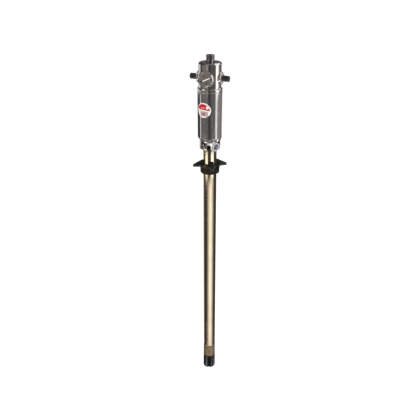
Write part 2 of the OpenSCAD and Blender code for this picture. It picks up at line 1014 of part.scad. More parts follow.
module plunger_ball() {
    color("silver")
        translate([0, 0, plunger_ball_z])
            sphere(r = plunger_ball_r);
}

bung_adapter();
tube_seal_ring();
clamp_screw();
suction_tube();
lower_collar();
foot_valve_body();
foot_seat();
foot_stop_pin();
foot_strainer();
foot_ball();
lower_housing();
tube_o_ring();
cylinder_o_ring();
lower_bumper();
rod_gland();
air_rod_seal();
fluid_rod_seal();
outlet_bush();
vent_plug();
bleed_screw();
air_cylinder();
label();
cylinder_head();
head_o_ring();
upper_bumper();
top_cap();
valve_sleeve();
exhaust_cap();
silencer_disc();
left_side_cap();
right_side_cap();
left_spring_housing();
right_spring_housing();
left_detent_spring();
right_detent_spring();
left_detent_plunger();
right_detent_plunger();
valve_spool();
spool_seals();
spool_nut();
trip_rod();
trip_collar();
air_piston();
piston_seal();
piston_guide_ring();
piston_nut();
piston_rod();
rod_coupling();
coupling_pins();
connecting_rod();
plunger();
plunger_seals();
plunger_seat();
plunger_stop_pin();
plunger_ball();
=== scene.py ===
# Drum barrel pump: finishes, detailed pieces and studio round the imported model. Metres, Z up, front towards -Y.
import json
import math

import bpy
import bmesh
import numpy as np
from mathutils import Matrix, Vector

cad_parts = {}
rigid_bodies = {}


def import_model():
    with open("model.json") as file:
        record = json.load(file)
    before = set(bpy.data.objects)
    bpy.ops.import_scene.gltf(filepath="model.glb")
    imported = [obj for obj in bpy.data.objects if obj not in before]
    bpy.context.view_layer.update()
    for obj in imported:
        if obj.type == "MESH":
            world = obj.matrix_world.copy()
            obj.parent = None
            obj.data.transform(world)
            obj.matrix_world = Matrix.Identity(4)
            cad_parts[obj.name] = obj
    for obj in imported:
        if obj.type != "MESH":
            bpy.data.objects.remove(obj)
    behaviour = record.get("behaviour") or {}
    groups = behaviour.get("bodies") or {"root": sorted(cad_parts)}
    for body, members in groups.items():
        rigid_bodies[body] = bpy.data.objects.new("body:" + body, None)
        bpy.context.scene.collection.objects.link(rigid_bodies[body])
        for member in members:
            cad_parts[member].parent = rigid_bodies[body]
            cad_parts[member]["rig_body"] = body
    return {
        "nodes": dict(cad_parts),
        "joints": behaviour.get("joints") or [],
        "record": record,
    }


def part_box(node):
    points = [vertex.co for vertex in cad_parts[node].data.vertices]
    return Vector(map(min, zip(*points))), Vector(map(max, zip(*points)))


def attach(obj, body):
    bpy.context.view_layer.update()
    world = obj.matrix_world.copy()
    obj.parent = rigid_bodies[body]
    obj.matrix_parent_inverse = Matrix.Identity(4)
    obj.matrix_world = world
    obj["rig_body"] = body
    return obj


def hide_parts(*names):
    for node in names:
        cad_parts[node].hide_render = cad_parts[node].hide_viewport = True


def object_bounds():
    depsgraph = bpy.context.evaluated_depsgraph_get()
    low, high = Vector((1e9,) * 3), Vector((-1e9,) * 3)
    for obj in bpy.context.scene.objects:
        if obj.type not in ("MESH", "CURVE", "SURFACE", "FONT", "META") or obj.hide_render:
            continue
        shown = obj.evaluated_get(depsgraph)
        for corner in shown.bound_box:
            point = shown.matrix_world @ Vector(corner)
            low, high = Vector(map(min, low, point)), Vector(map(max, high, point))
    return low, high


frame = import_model()
cadNodes = frame["nodes"]
cadLow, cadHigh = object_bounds()
joints = {joint["name"]: joint for joint in frame["joints"]}

mm = 0.001
nearAxis = 0.01 * mm  # a profile stays this far off its axis, so that its end rings don't fold


camera = {
    "side": 0.0009, "back": 1.44, "aboveTop": 0.2329,  # from the pump's axis and from the top of the top cap
    "pitch": 26.6, "roll": 0.22, "lens": 42.49, "sensor": 36, "clip": (0.05, 200),
}
eye = bpy.data.objects.new("camera", bpy.data.cameras.new("camera"))
bpy.context.scene.collection.objects.link(eye)
eye.location = (camera["side"], -camera["back"], cadHigh.z + camera["aboveTop"])
eye.rotation_euler = (math.radians(90 - camera["pitch"]), 0, 0)
eye.rotation_euler.rotate_axis("Z", math.radians(camera["roll"]))
eye.data.lens = camera["lens"]
eye.data.sensor_width = camera["sensor"]
eye.data.clip_start, eye.data.clip_end = camera["clip"]
bpy.context.scene.camera = eye
bpy.context.scene.view_settings.view_transform = "Standard"

# Soft screens far round the pump: direction from the front towards the right, width, soft edge, lowest and
# highest elevation, soft edge, all in degrees, then colour and radiance. The head, the cylinder and the tube
# each mirror their own band.
room = {"tone": (1.0, 0.96, 0.94), "radiance": 0.055}
screens = {
    "headKey": (72, 28, 18, -13.2, -9.85, 0.3, (1.0, 0.99, 0.97), 2.1),
    "headLeft": (-52, 70, 10, -13.2, 30, 0.4, (1.0, 0.91, 0.80), 0.2),
    "headLeftInner": (-28, 18, 3, -13.2, -9.85, 0.3, (1.0, 0.95, 0.88), 0.16),
    "headLeftEdge": (-132, 46, 16, -13.2, 5, 0.4, (1.0, 1.0, 1.0), 0.8),
    "cylinderKey": (61, 20, 16, -19.8, -13.2, 0.4, (1.0, 1.0, 1.0), 0.9),
    "cylinderEdge": (98, 44, 14, -19.8, -9.85, 0.4, (1.0, 1.0, 1.0), 0.21),
    "cylinderLeft": (-55, 76, 12, -19.8, -13.2, 0.4, (1.0, 0.94, 0.98), 0.085),
    "leftSliver": (-98, 11, 4, -19.8, -13.2, 0.4, (1.0, 0.98, 0.95), 0.75),
    "rightFill": (28, 46, 18, -19.8, 60, 1, (0.95, 0.98, 1.0), 0.08),
    "rightRim": (158, 44, 10, -19.8, 2, 1, (1.0, 1.0, 1.0), 0.9),
    "rightHigh": (62, 34, 10, -4, 42, 3, (1.0, 0.99, 0.97), 1.3),
    "leftHigh": (-80, 30, 10, 24, 58, 6, (1.0, 0.99, 0.96), 2.2),
    "rightSky": (112, 56, 24, 30, 66, 8, (1.0, 0.99, 0.97), 1.4),
    "tubeLeft": (-59, 42, 8, -22.75, -20.0, 0.3, (1.0, 0.98, 0.93), 2.2),
    "tubeRight": (41, 46, 8, -22.75, -20.0, 0.3, (1.0, 0.99, 0.95), 2.6),
    "tubeFront": (14, 64, 84, -42.3, -23.3, 0.3, (1.0, 0.98, 0.94), 1.75),
    "tubeBack": (192, 70, 60, -43, -19.9, 0.3, (1.0, 0.98, 0.94), 0.9),
    "footLeft": (-56, 40, 12, -50, -43.1, 0.3, (1.0, 1.0, 1.0), 3.4),
    "footRight": (54, 18, 8, -50, -43.1, 0.3, (1.0, 1.0, 1.0), 3.6),
    "footEdge": (108, 18, 8, -50, -43.1, 0.3, (1.0, 1.0, 1.0), 2.4),
    "below": (0, 360, 1, -90, -50, 6, (1.0, 0.98, 0.96), 0.24),
    "behind": (184, 60, 20, 2, 24, 6, (1.0, 0.92, 0.86), 0.07),
    "overhead": (0, 360, 1, 62, 90, 12, (1.0, 1.0, 1.0), 0.16),
}


# The world: a dim even room plus each screen's colour, times a smooth step in turn, times one in elevation.
def roomLight(values, tone, radiance):
    world = bpy.data.worlds.new("room")
    world.use_nodes = True
    tree = world.node_tree

    def node(kind, inputs, **settings):
        made = tree.nodes.new("ShaderNode" + kind)
        for key, value in settings.items():
            setattr(made, key, value)
        for key, value in inputs.items():
            if isinstance(value, bpy.types.NodeSocket):
                tree.links.new(value, made.inputs[key])
            else:
                made.inputs[key].default_value = value
        return made

    way = node("TexCoord", {}).outputs["Generated"]
    level = node("VectorMath", {0: way, 1: (1, 1, 0)}, operation="MULTIPLY").outputs[0]
    level = node("VectorMath", {0: level}, operation="NORMALIZE").outputs[0]
    height = node("Math", {0: node("SeparateXYZ", {0: way}).outputs["Z"]}, operation="ARCSINE").outputs[0]

    def step(value, start, end):
        limits = {"From Min": math.radians(start), "From Max": math.radians(end), "To Min": 0.0, "To Max": 1.0}
        return node("MapRange", {"Value": value, **limits}, interpolation_type="SMOOTHSTEP").outputs[0]

    total = None
    for azimuth, width, soft, low, high, edge, colour, strength in values.values():
        turn = math.radians(azimuth)
        screenWay = (math.sin(turn), -math.cos(turn), 0)
        facing = node("VectorMath", {0: level, 1: screenWay}, operation="DOT_PRODUCT").outputs["Value"]
        apart = node("Math", {0: facing}, operation="ARCCOSINE").outputs[0]
        within = step(apart, (width + soft) / 2, (width - soft) / 2)
        above = step(height, low - edge / 2, low + edge / 2)
        below = step(height, high + edge / 2, high - edge / 2)
        share = node("Math", {0: within, 1: above}, operation="MULTIPLY").outputs[0]
        share = node("Math", {0: share, 1: below}, operation="MULTIPLY").outputs[0]
        shade = tuple(c * strength for c in colour)
        lit = node("VectorMath", {0: shade, "Scale": share}, operation="SCALE").outputs[0]
        total = lit if total is None else node("VectorMath", {0: total, 1: lit}, operation="ADD").outputs[0]
    total = node("VectorMath", {0: total, 1: tuple(c * radiance for c in tone)}, operation="ADD").outputs[0]
    tree.links.new(total, tree.nodes["Background"].inputs["Color"])
    bpy.context.scene.world = world


roomLight(screens, **room)

# Large soft lamps that only light matt surfaces: direction, elevation, distance, size, power.
softLamps = {
    "keyLamp": (-32, 28, 2.6, 1.6, 70),
    "fillLamp": (48, 12, 3.0, 1.8, 40),
    "backLamp": (180, 35, 3.0, 2.0, 50),
}
for lampName, (azimuth, elevation, distance, size, power) in softLamps.items():
    lamp = bpy.data.lights.new(lampName, "AREA")
    lamp.size, lamp.energy = size, power
    holder = bpy.data.objects.new(lampName, lamp)
    bpy.context.scene.collection.objects.link(holder)
    turn, rise = math.radians(azimuth), math.radians(elevation)
    away = Vector((math.sin(turn) * math.cos(rise), -math.cos(turn) * math.cos(rise), math.sin(rise)))
    holder.location = away * distance
    holder.rotation_euler = (-away).to_track_quat("-Z", "Y").to_euler()
    holder.visible_camera = holder.visible_glossy = False
print("studio: camera,", len(screens), "screens and", len(softLamps), "lamps")


# The corner points of a CAD node as an array.
def cadPoints(node):
    points = np.zeros(len(cadNodes[node].data.vertices) * 3)
    cadNodes[node].data.vertices.foreach_get("co", points)
    return points.reshape(-1, 3)


# Nearest and farthest distance of a node from the pump's axis along a level direction.
def reachOf(node, way):
    along = cadPoints(node) @ np.array(way)
    return along.min(), along.max()


# Corners are (radius, height, rounding). Each corner turns into the curve
# (1-t)^2 before + 2t(1-t) corner + t^2 after, where before and after lie one rounding away along its two sides.
def roundedLine(corners, steps=5):
    line = np.array(corners, float)
    place, rounding = line[:, :2], line[:, 2]
    side = np.diff(place, axis=0)
    side /= np.linalg.norm(side, axis=1)[:, None]
    inward = np.vstack([side[:1], side])
    onward = np.vstack([side, side[-1:]])
    before = place - inward * rounding[:, None]
    after = place + onward * rounding[:, None]
    t = np.linspace(0, 1, steps + 1)[None, :, None]
    curve = (1 - t) ** 2 * before[:, None] + 2 * t * (1 - t) * place[:, None] + t ** 2 * after[:, None]
    points = curve.reshape(-1, 2)
    worn = np.repeat(rounding > 0, steps + 1).astype(float)
    keep = np.r_[True, np.linalg.norm(np.diff(points, axis=0), axis=1) > 1e-7]
    return points[keep], worn[keep]


# Adds points along a line so that neighbours lie no more than a gap apart. A point held close to each corner
# of a long stretch keeps its shading straight.
def densify(points, worn, gap):
    step = np.linalg.norm(np.diff(points, axis=0), axis=1)
    along = np.r_[0, np.cumsum(step)]
    count = np.maximum(np.ceil(step / gap).astype(int), 1)
    hold = 0.3 * mm
    long = step > 4 * hold
    spans = [np.linspace(start, end, parts, endpoint=False)
             for start, end, parts in zip(along[:-1], along[1:], count)]
    held = [along[:-1][long] + hold, along[1:][long] - hold]
    places = np.unique(np.concatenate([*spans, along[-1:], *held]))
    fine = np.stack([np.interp(places, along, points[:, k]) for k in (0, 1)], axis=1)
    return fine, np.interp(places, along, worn)


# Points at a radius and height round the pump's own axis, or round a level axis that leaves it one way.
def aroundAxis(radius, height, angle, way=None, level=0.0):
    across, up = radius * np.cos(angle), radius * np.sin(angle)
    if way is None:
        return np.stack([across, up, height + 0 * angle], axis=-1)
    side, upright = np.array((-way[1], way[0], 0.0)), np.array((0, 0, 1.0))
    outward = (height + 0 * angle)[..., None] * np.array(way)
    return outward + across[..., None] * side + (up + level)[..., None] * upright


# Faces over a grid of rows and columns. Columns close on themselves. Rows close too when joined, and otherwise
# each end row shrinks to one point at its middle. The map is the share round each row, and the metres walked
# along the rows.
def closedSkin(grid, worn=None, joined=False, label=None):
    rows, columns = grid.shape[:2]
    lastStep = 1 * mm  # what the map gives to the faces that close the skin
    index = np.arange(rows * columns).reshape(rows, columns)
    lower = index if joined else index[:-1]
    upper = np.roll(index, -1, axis=0) if joined else index[1:]
    quads = np.stack([lower, np.roll(lower, -1, 1), np.roll(upper, -1, 1), upper], axis=-1).reshape(-1, 4)
    walked = np.r_[0, np.cumsum(np.linalg.norm(np.diff(grid, axis=0), axis=2).mean(axis=1))]
    u0 = np.tile(np.arange(columns) / columns, rows).reshape(rows, columns)
    v0 = np.repeat(walked, columns).reshape(rows, columns)
    lowerV, upperV = (v0, np.vstack([v0[1:], v0[-1:] + lastStep])) if joined else (v0[:-1], v0[1:])
    lowerU = u0 if joined else u0[:-1]
    quadMap = np.stack([
        np.stack([lowerU, lowerV], -1), np.stack([lowerU + 1 / columns, lowerV], -1),
        np.stack([lowerU + 1 / columns, upperV], -1), np.stack([lowerU, upperV], -1),
    ], axis=2).reshape(-1, 4, 2)
    points, wear = grid.reshape(-1, 3), np.repeat(np.zeros(rows) if worn is None else worn, columns)
    flat = label.reshape(-1, 2) if label is not None else None
    triangles, triangleMap = np.zeros((0, 3), int), np.zeros((0, 3, 2))
    if not joined:
        for end, row in ((rows * columns, index[0][::-1]), (rows * columns + 1, index[-1])):
            points = np.vstack([points, grid.reshape(-1, 3)[row].mean(axis=0)])
            wear = np.r_[wear, 0]
            if flat is not None:
                flat = np.vstack([flat, flat[row].mean(axis=0)])
            fan = np.stack([row, np.roll(row, -1), np.full(columns, end)], axis=-1)
            triangles = np.vstack([triangles, fan])
            edge = 0.0 if end == rows * columns else walked[-1]
            share = np.arange(columns) / columns
            level = share * 0 + edge
            fanMap = np.stack([np.stack([share, level], -1), np.stack([share + 1 / columns, level], -1),
                               np.stack([share, level + lastStep], -1)], axis=1)
            triangleMap = np.vstack([triangleMap, fanMap])
    corner = [points[quads[:, k]] for k in range(4)]
    tip = [points[triangles[:, k]] for k in range(3)]
    triples = (corner[:3], (corner[0], corner[2], corner[3]), tip)
    if sum(np.einsum("ij,ij->", a, np.cross(b, c)) for a, b, c in triples) < 0:  # the volume, when inside out
        quads, quadMap = quads[:, ::-1], quadMap[:, ::-1]
        triangles, triangleMap = triangles[:, ::-1], triangleMap[:, ::-1]
    if flat is not None:
        quadMap, triangleMap = flat[quads], flat[triangles]
    return {"points": points, "quads": quads, "triangles": triangles, "quadMap": quadMap,
            "triangleMap": triangleMap, "wear": wear}


# A rounded profile carried round an axis: each profile point becomes a ring of the same radius and height.
def turnedSkin(corners, columns=128, way=None, level=0.0, joined=False, gap=0.01):
    points, worn = densify(*roundedLine(corners + corners[:1] if joined else corners), gap)
    if joined:
        points, worn = points[:-1], worn[:-1]
    points[:, 0] = np.maximum(points[:, 0], nearAxis)
    angle = np.linspace(0, 2 * math.pi, columns, endpoint=False)[None, :]
    grid = aroundAxis(points[:, :1], points[:, 1:] + 0 * angle, angle + 0 * points[:, :1], way, level)
    return closedSkin(grid, worn, joined)


# One object from one or more closed skins, placed by its mesh, riding on a body and standing for a CAD node.
def addPiece(name, skins, finish, body, standsFor, sharpAt=40):
    mesh = bpy.data.meshes.new(name)
    offset, points, faces, mapped, wear = 0, [], [], [], []
    for skin in skins:
        points.append(skin["points"])
        wear.append(skin["wear"])
        faces += (skin["quads"] + offset).tolist() + (skin["triangles"] + offset).tolist()
        mapped += [skin["quadMap"].reshape(-1, 2), skin["triangleMap"].reshape(-1, 2)]
        offset += len(skin["points"])
    mesh.from_pydata(np.vstack(points), [], faces)
    mesh.uv_layers.new(name="turning").uv.foreach_set("vector", np.vstack(mapped).astype(np.float32).ravel())
    # a second layer carries painted shade, zero where a skin has none
    paintedShade = [skin.get("paintedShade", 0 * skin["wear"]) for skin in skins]
    for layer, amounts in (("wear", wear), ("paintedShade", paintedShade)):
        shares = np.concatenate(amounts).astype(np.float32)
        mesh.attributes.new(layer, "FLOAT", "POINT").data.foreach_set("value", shares)
    mesh.polygons.foreach_set("use_smooth", np.ones(len(mesh.polygons), bool))
    mesh.set_sharp_from_angle(angle=math.radians(sharpAt))
    return placePiece(name, mesh, finish, body, standsFor)


def placePiece(name, mesh, finish, body, standsFor):
    piece = bpy.data.objects.new(name, mesh)
    bpy.context.scene.collection.objects.link(piece)
    mesh.materials.clear()
    mesh.materials.append(finish)
    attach(piece, body)
    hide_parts(standsFor)
    return piece


softening = {"merge": 2e-6, "flatWithin": 0.6, "edgeFrom": 32, "segments": 3}


# A merged copy of a CAD node whose real edges are rounded with a bevel.
def softenedCopy(name, node, finish, body, width):
    mesh = cadNodes[node].data.copy()
    mesh.name = name
    work = bmesh.new()
    work.from_mesh(mesh)
    bmesh.ops.remove_doubles(work, verts=work.verts, dist=softening["merge"])
    flatWithin = math.radians(softening["flatWithin"])
    bmesh.ops.dissolve_limit(work, angle_limit=flatWithin, verts=work.verts, edges=work.edges)
    work.to_mesh(mesh)
    work.free()
    for spare in [a.name for a in mesh.attributes if a.name == "custom_normal"]:
        mesh.attributes.remove(mesh.attributes[spare])
    mesh.polygons.foreach_set("use_smooth", np.ones(len(mesh.polygons), bool))
    edgeFrom = math.radians(softening["edgeFrom"])
    mesh.set_sharp_from_angle(angle=edgeFrom)
    piece = placePiece(name, mesh, finish, body, node)
    bevel = piece.modifiers.new("edges", "BEVEL")
    bevel.width, bevel.segments = width, softening["segments"]
    bevel.limit_method, bevel.angle_limit = "ANGLE", edgeFrom
    bevel.use_clamp_overlap, bevel.harden_normals = True, True
    return piece


def newFinish(name):
    material = bpy.data.materials.new(name)
    material.use_nodes = True
    return material, material.node_tree, material.node_tree.nodes["Principled BSDF"]


# A node with some input values set, and links made from other outputs by input name or number.
def addNode(tree, kind, links=(), **values):
    node = tree.nodes.new("ShaderNode" + kind)
    for key, value in values.items():
        if hasattr(node, key):
            setattr(node, key, value)
        else:
            node.inputs[key.replace("_", " ")].default_value = value
    for key, output in dict(links).items():
        tree.links.new(output, node.inputs[key])
    return node


# Noise on coordinates stretched by a scale, as an output between 0 and 1.
def stretched(tree, source, scale, detail=3.0, rough=0.55, offset=(0, 0, 0)):
    mapping = addNode(tree, "Mapping", {"Vector": source}, Scale=scale, Location=offset)
    noise = addNode(tree, "TexNoise", {"Vector": mapping.outputs[0]}, Scale=1.0, Detail=detail, Roughness=rough)
    return noise.outputs["Fac"]


def ranged(tree, value, fromLow, fromHigh, toLow, toHigh):
    limits = {"From Min": fromLow, "From Max": fromHigh, "To Min": toLow, "To Max": toHigh}
    return addNode(tree, "MapRange", {"Value": value}, **limits).outputs[0]


def maths(tree, operation, first, second):
    node = addNode(tree, "Math", operation=operation)
    for socket, item in zip(node.inputs, (first, second)):
        if isinstance(item, (int, float)):
            socket.default_value = item
        else:
            tree.links.new(item, socket)
    return node.outputs[0]


# A colour between two, each a colour or an output.
def blended(tree, share, first, second):
    node = tree.nodes.new("ShaderNodeMix")
    node.data_type = "RGBA"
    tree.links.new(share, node.inputs["Factor"])
    for socket, item in ((node.inputs[6], first), (node.inputs[7], second)):
        if isinstance(item, tuple):
            socket.default_value = (*item, 1)
        else:
            tree.links.new(item, socket)
    return node.outputs[2]


metalTexture = {  # which part of each noise counts, and how much of each layer shows
    "patchSpread": (0.32, 0.68), "grimeSpread": (0.5, 0.72), "wearSpread": (0.35, 0.6), "wearShare": (0.1, 0.9),
    # the last entry is the near-black colour that painted shade blends towards
    "roughSpread": (0.35, 0.65), "lineShare": 0.4, "smearShare": 0.6, "paintedShade": (0.012, 0.011, 0.01),
}


# Metal with patches of tone, fine tool lines, smeared roughness and worn edges, and grime or pits if asked for. A
# per-point layer paints shade towards near black, and the worn colour also paints light into the outlet bush's
# bore and a glint on the thread crests.
def metalFinish(name, light, dark, rough, lines, lineDepth, turned=False, patch=35, worn=None, grime=None,
                metallic=1.0, pits=None):
    material, tree, shader = newFinish(name)
    spots = tree.nodes.new("ShaderNodeTexCoord")
    spots, laid = spots.outputs["Object"], spots.outputs["UV" if turned else "Object"]
    broad = stretched(tree, spots, (patch, patch, patch), 5, 0.6)
    lineNoise = stretched(tree, laid, lines, 2, 0.5)
    smear = stretched(tree, spots, (patch * 4, patch * 4, patch * 1.3), 4, 0.65, (3, 1, 7))
    colour = blended(tree, ranged(tree, broad, *metalTexture["patchSpread"], 0, 1), dark, light)
    if grime:
        colour = blended(tree, ranged(tree, smear, *metalTexture["grimeSpread"], 0, grime[1]), colour, grime[0])
    if worn:
        edge = addNode(tree, "Attribute", attribute_name="wear").outputs["Fac"]
        rubbed = ranged(tree, smear, *metalTexture["wearSpread"], *metalTexture["wearShare"])
        colour = blended(tree, maths(tree, "MULTIPLY", edge, rubbed), colour, worn)
    # painted shade: the per-point layer blends the colour towards near black
    paintedShade = addNode(tree, "Attribute", attribute_name="paintedShade").outputs["Fac"]
    colour = blended(tree, paintedShade, colour, metalTexture["paintedShade"])
    tree.links.new(colour, shader.inputs["Base Color"])
    mixedNoise = maths(tree, "ADD", maths(tree, "MULTIPLY", lineNoise, metalTexture["lineShare"]),
                       maths(tree, "MULTIPLY", smear, metalTexture["smearShare"]))
    tree.links.new(ranged(tree, mixedNoise, *metalTexture["roughSpread"], *rough), shader.inputs["Roughness"])
    relief = lineNoise
    if pits:
        pitNoise = stretched(tree, spots, (pits[0],) * 3, 3, 0.6, (5, 2, 9))
        relief = maths(tree, "ADD", maths(tree, "MULTIPLY", lineNoise, 1 - pits[1]),
                       maths(tree, "MULTIPLY", pitNoise, pits[1]))
    bump = addNode(tree, "Bump", {"Height": relief}, Strength=1.0, Distance=lineDepth)
    tree.links.new(bump.outputs[0], shader.inputs["Normal"])
    shader.inputs["Metallic"].default_value = metallic
    return material


turnedLines = (5, 2600, 1)   # share round the ring, and metres along the profile
cadLines = (60, 60, 2600)    # level rings on a piece about the pump's axis
castLines = (160, 160, 160)

finishes = {
    "nickel_plate": dict(light=(0.66, 0.62, 0.60), dark=(0.57, 0.53, 0.51), rough=(0.06, 0.12),
                         lines=turnedLines, lineDepth=1.5e-6,
                         turned=True, worn=(0.8, 0.77, 0.74), grime=((0.36, 0.33, 0.31), 0.25)),
    "cylinder_plate": dict(light=(0.67, 0.65, 0.66), dark=(0.60, 0.58, 0.60), rough=(0.05, 0.10),
                           lines=turnedLines, lineDepth=1.2e-6,
                           turned=True, worn=(0.82, 0.8, 0.77), grime=((0.45, 0.42, 0.41), 0.18)),
    "black_steel": dict(light=(0.034, 0.034, 0.036), dark=(0.016, 0.016, 0.017), rough=(0.12, 0.26),
                        lines=turnedLines, lineDepth=8e-6,
                        turned=True, worn=(0.09, 0.09, 0.09), metallic=0.88, patch=60),
    "dark_nickel": dict(light=(0.27, 0.245, 0.24), dark=(0.16, 0.145, 0.145), rough=(0.05, 0.10),
                        lines=turnedLines, lineDepth=8e-6,
                        turned=True, worn=(0.5, 0.48, 0.45), patch=80),
    # zinc_blue: the pale worn colour marks rubbed edges, and inside the outlet bush's bore it is painted light
    "zinc_blue": dict(light=(0.36, 0.365, 0.44), dark=(0.25, 0.255, 0.32), rough=(0.16, 0.3), lines=turnedLines,
                      lineDepth=8e-6,
                      turned=True, worn=(0.85, 0.85, 0.92), patch=120, metallic=0.5),
    "zinc_yellow": dict(light=(0.65, 0.56, 0.42), dark=(0.57, 0.47, 0.33), rough=(0.06, 0.11), lines=(40, 3, 1),
                        lineDepth=2e-6,
                        turned=True, worn=(0.7, 0.6, 0.45), grime=((0.36, 0.26, 0.16), 0.25), patch=18),
    "brown_brass": dict(light=(0.38, 0.27, 0.15), dark=(0.30, 0.195, 0.11), rough=(0.45, 0.62),
                        lines=turnedLines, lineDepth=2.5e-5,
                        turned=True, worn=(0.45, 0.36, 0.22), patch=70),
    # cast_black: the worn colour marks rubbed edges, and on the thread crests it is partly a painted golden glint
    "cast_black": dict(light=(0.016, 0.017, 0.014), dark=(0.005, 0.005, 0.005), rough=(0.14, 0.32),
                       lines=castLines, lineDepth=3e-4,
                       worn=(0.10, 0.075, 0.04), metallic=0.3, patch=90, pits=(900, 0.3)),
    "bronze": dict(light=(0.62, 0.40, 0.2), dark=(0.45, 0.27, 0.13), rough=(0.25, 0.42), lines=cadLines,
                   lineDepth=1.5e-5, grime=((0.2, 0.13, 0.08), 0.3)),
    "steel": dict(light=(0.55, 0.55, 0.56), dark=(0.40, 0.40, 0.41), rough=(0.2, 0.38), lines=cadLines,
                  lineDepth=1.5e-5, grime=((0.22, 0.2, 0.18), 0.3)),
    "ground_steel": dict(light=(0.68, 0.68, 0.69), dark=(0.58, 0.58, 0.6), rough=(0.08, 0.2), lines=cadLines,
                         lineDepth=6e-6),
    "spring_steel": dict(light=(0.4, 0.39, 0.38), dark=(0.25, 0.24, 0.23), rough=(0.25, 0.45),
                         lines=(900, 900, 900), lineDepth=1e-5),
    "aluminium": dict(light=(0.72, 0.72, 0.73), dark=(0.6, 0.6, 0.61), rough=(0.22, 0.4), lines=cadLines,
                      lineDepth=1.5e-5, grime=((0.3, 0.3, 0.3), 0.3)),
}
plainPlate = {"turned": False, "lines": (60, 60, 1100), "lineDepth": 1.2e-6, "rough": (0.03, 0.08)}
plainFinishes = {  # the same finishes on pieces that have no turned map
    "nickel_plate": plainPlate,
    "cylinder_plate": plainPlate,
    "black_steel": {"turned": False, "lines": (300, 300, 300), "lineDepth": 4e-6, "rough": (0.06, 0.12)},
}
materials = {name: metalFinish(name, **values) for name, values in finishes.items()}
for name, changes in plainFinishes.items():
    materials[name + "_plain"] = metalFinish(name + "_plain", **{**finishes[name], **changes})


# Rubber or plastic: two close tones, a fine grain in the relief and the roughness.
def softFinish(name, light, dark, rough, scale, depth, sheen):
    material, tree, shader = newFinish(name)
    spots = tree.nodes.new("ShaderNodeTexCoord").outputs["Object"]
    grain = stretched(tree, spots, (scale,) * 3, 4, 0.6)
    broad = stretched(tree, spots, (60, 60, 60), 4, 0.6, (2, 4, 1))
    tree.links.new(blended(tree, broad, dark, light), shader.inputs["Base Color"])
    tree.links.new(ranged(tree, grain, 0.3, 0.7, *rough), shader.inputs["Roughness"])
    bump = addNode(tree, "Bump", {"Height": grain}, Strength=1.0, Distance=depth)
    tree.links.new(bump.outputs[0], shader.inputs["Normal"])
    shader.inputs["Sheen Weight"].default_value = sheen
    return material


softFinishes = {
    "rubber": dict(light=(0.03, 0.03, 0.03), dark=(0.014, 0.014, 0.014), rough=(0.45, 0.7), scale=1800,
                   depth=3e-5, sheen=0.2),
    "seal_plastic": dict(light=(0.74, 0.73, 0.68), dark=(0.62, 0.6, 0.55), rough=(0.35, 0.55), scale=1200,
                         depth=1.5e-5, sheen=0.0),
}
for name, values in softFinishes.items():
    materials[name] = softFinish(name, **values)
print("finishes:", len(materials))


labelCard = {
    "red": (0.52, 0.010, 0.020), "deepRed": (0.27, 0.005, 0.012), "pink": (0.72, 0.16, 0.17),
    "white": (0.66, 0.645, 0.62), "grey": (0.22, 0.09, 0.11), "scuffed": (0.45, 0.42, 0.40),
    # millimetres on the label, from its centre: rim, band, and blocks as left, right, low and high
    "inner": 21.4, "shift": (-0.6, -1.4), "bandLow": 1.4, "bandSlant": -0.10, "rimSoft": 0.3,
    "patch": (9.5, 16.5, 5.0, 13.5), "block": (-9.5, 4.5, 5.0, 10.0),
    "marks": (-10.0, 15.0, -18.5, -3.0), "core": (-3.0, 6.5, -13.5, -8.0),
}


# A round printed film. The map holds millimetres from the centre. Red above a slanting line inside a pale rim,
# white below, a white patch at the right, and soft-edged plain blocks that carry no words.
def labelFinish(values):
    material, tree, shader = newFinish("label_film")
    flat = tree.nodes.new("ShaderNodeTexCoord").outputs["UV"]
    split = addNode(tree, "SeparateXYZ", {"Vector": flat})
    x, y = split.outputs["X"], split.outputs["Y"]

    def product(*factors):
        total = factors[0]
        for factor in factors[1:]:
            total = maths(tree, "MULTIPLY", total, factor)
        return total

    def block(left, right, low, high, soft=0.9):
        starts = ((x, left, soft), (x, right, -soft), (y, low, soft), (y, high, -soft))
        return product(*[ranged(tree, place, edge - step, edge + step, 0, 1) for place, edge, step in starts])

    aboutRim = addNode(tree, "VectorMath", {0: flat}, operation="ADD")
    aboutRim.inputs[1].default_value = (-values["shift"][0], -values["shift"][1], 0)
    radius = addNode(tree, "VectorMath", {0: aboutRim.outputs[0]}, operation="LENGTH").outputs["Value"]
    above = maths(tree, "SUBTRACT", y, maths(tree, "MULTIPLY", x, values["bandSlant"]))
    rimSoft = values["rimSoft"]
    inside = ranged(tree, radius, values["inner"] + rimSoft, values["inner"] - rimSoft, 0, 1)
    red = product(ranged(tree, above, values["bandLow"] - rimSoft, values["bandLow"] + rimSoft, 0, 1), inside)
    ink = stretched(tree, flat, (0.3, 0.3, 1), 4, 0.65)
    redTone = blended(tree, ranged(tree, ink, 0.4, 0.6, 0, 1), values["deepRed"], values["red"])
    redTone = blended(tree, maths(tree, "MULTIPLY", block(*values["block"]), 0.8), redTone, values["pink"])
    colour = blended(tree, red, values["white"], redTone)
    colour = blended(tree, block(*values["patch"]), colour, values["white"])
    grain = ranged(tree, stretched(tree, flat, (0.55, 0.9, 1), 3, 0.6, (7, 1, 0)), 0.40, 0.56, 0.35, 1.0)
    colour = blended(tree, product(block(*values["marks"]), grain), colour, values["grey"])
    colour = blended(tree, product(block(*values["core"]), 0.8), colour, values["deepRed"])
    scuff = stretched(tree, flat, (0.35, 0.35, 1), 5, 0.7, (4, 2, 0))
    colour = blended(tree, ranged(tree, scuff, 0.55, 0.8, 0, 0.25), colour, values["scuffed"])
    tree.links.new(colour, shader.inputs["Base Color"])
    tree.links.new(ranged(tree, scuff, 0.35, 0.65, 0.25, 0.45), shader.inputs["Roughness"])
    bump = addNode(tree, "Bump", {"Height": scuff}, Strength=0.6, Distance=3e-5)
    tree.links.new(bump.outputs[0], shader.inputs["Normal"])
    return material


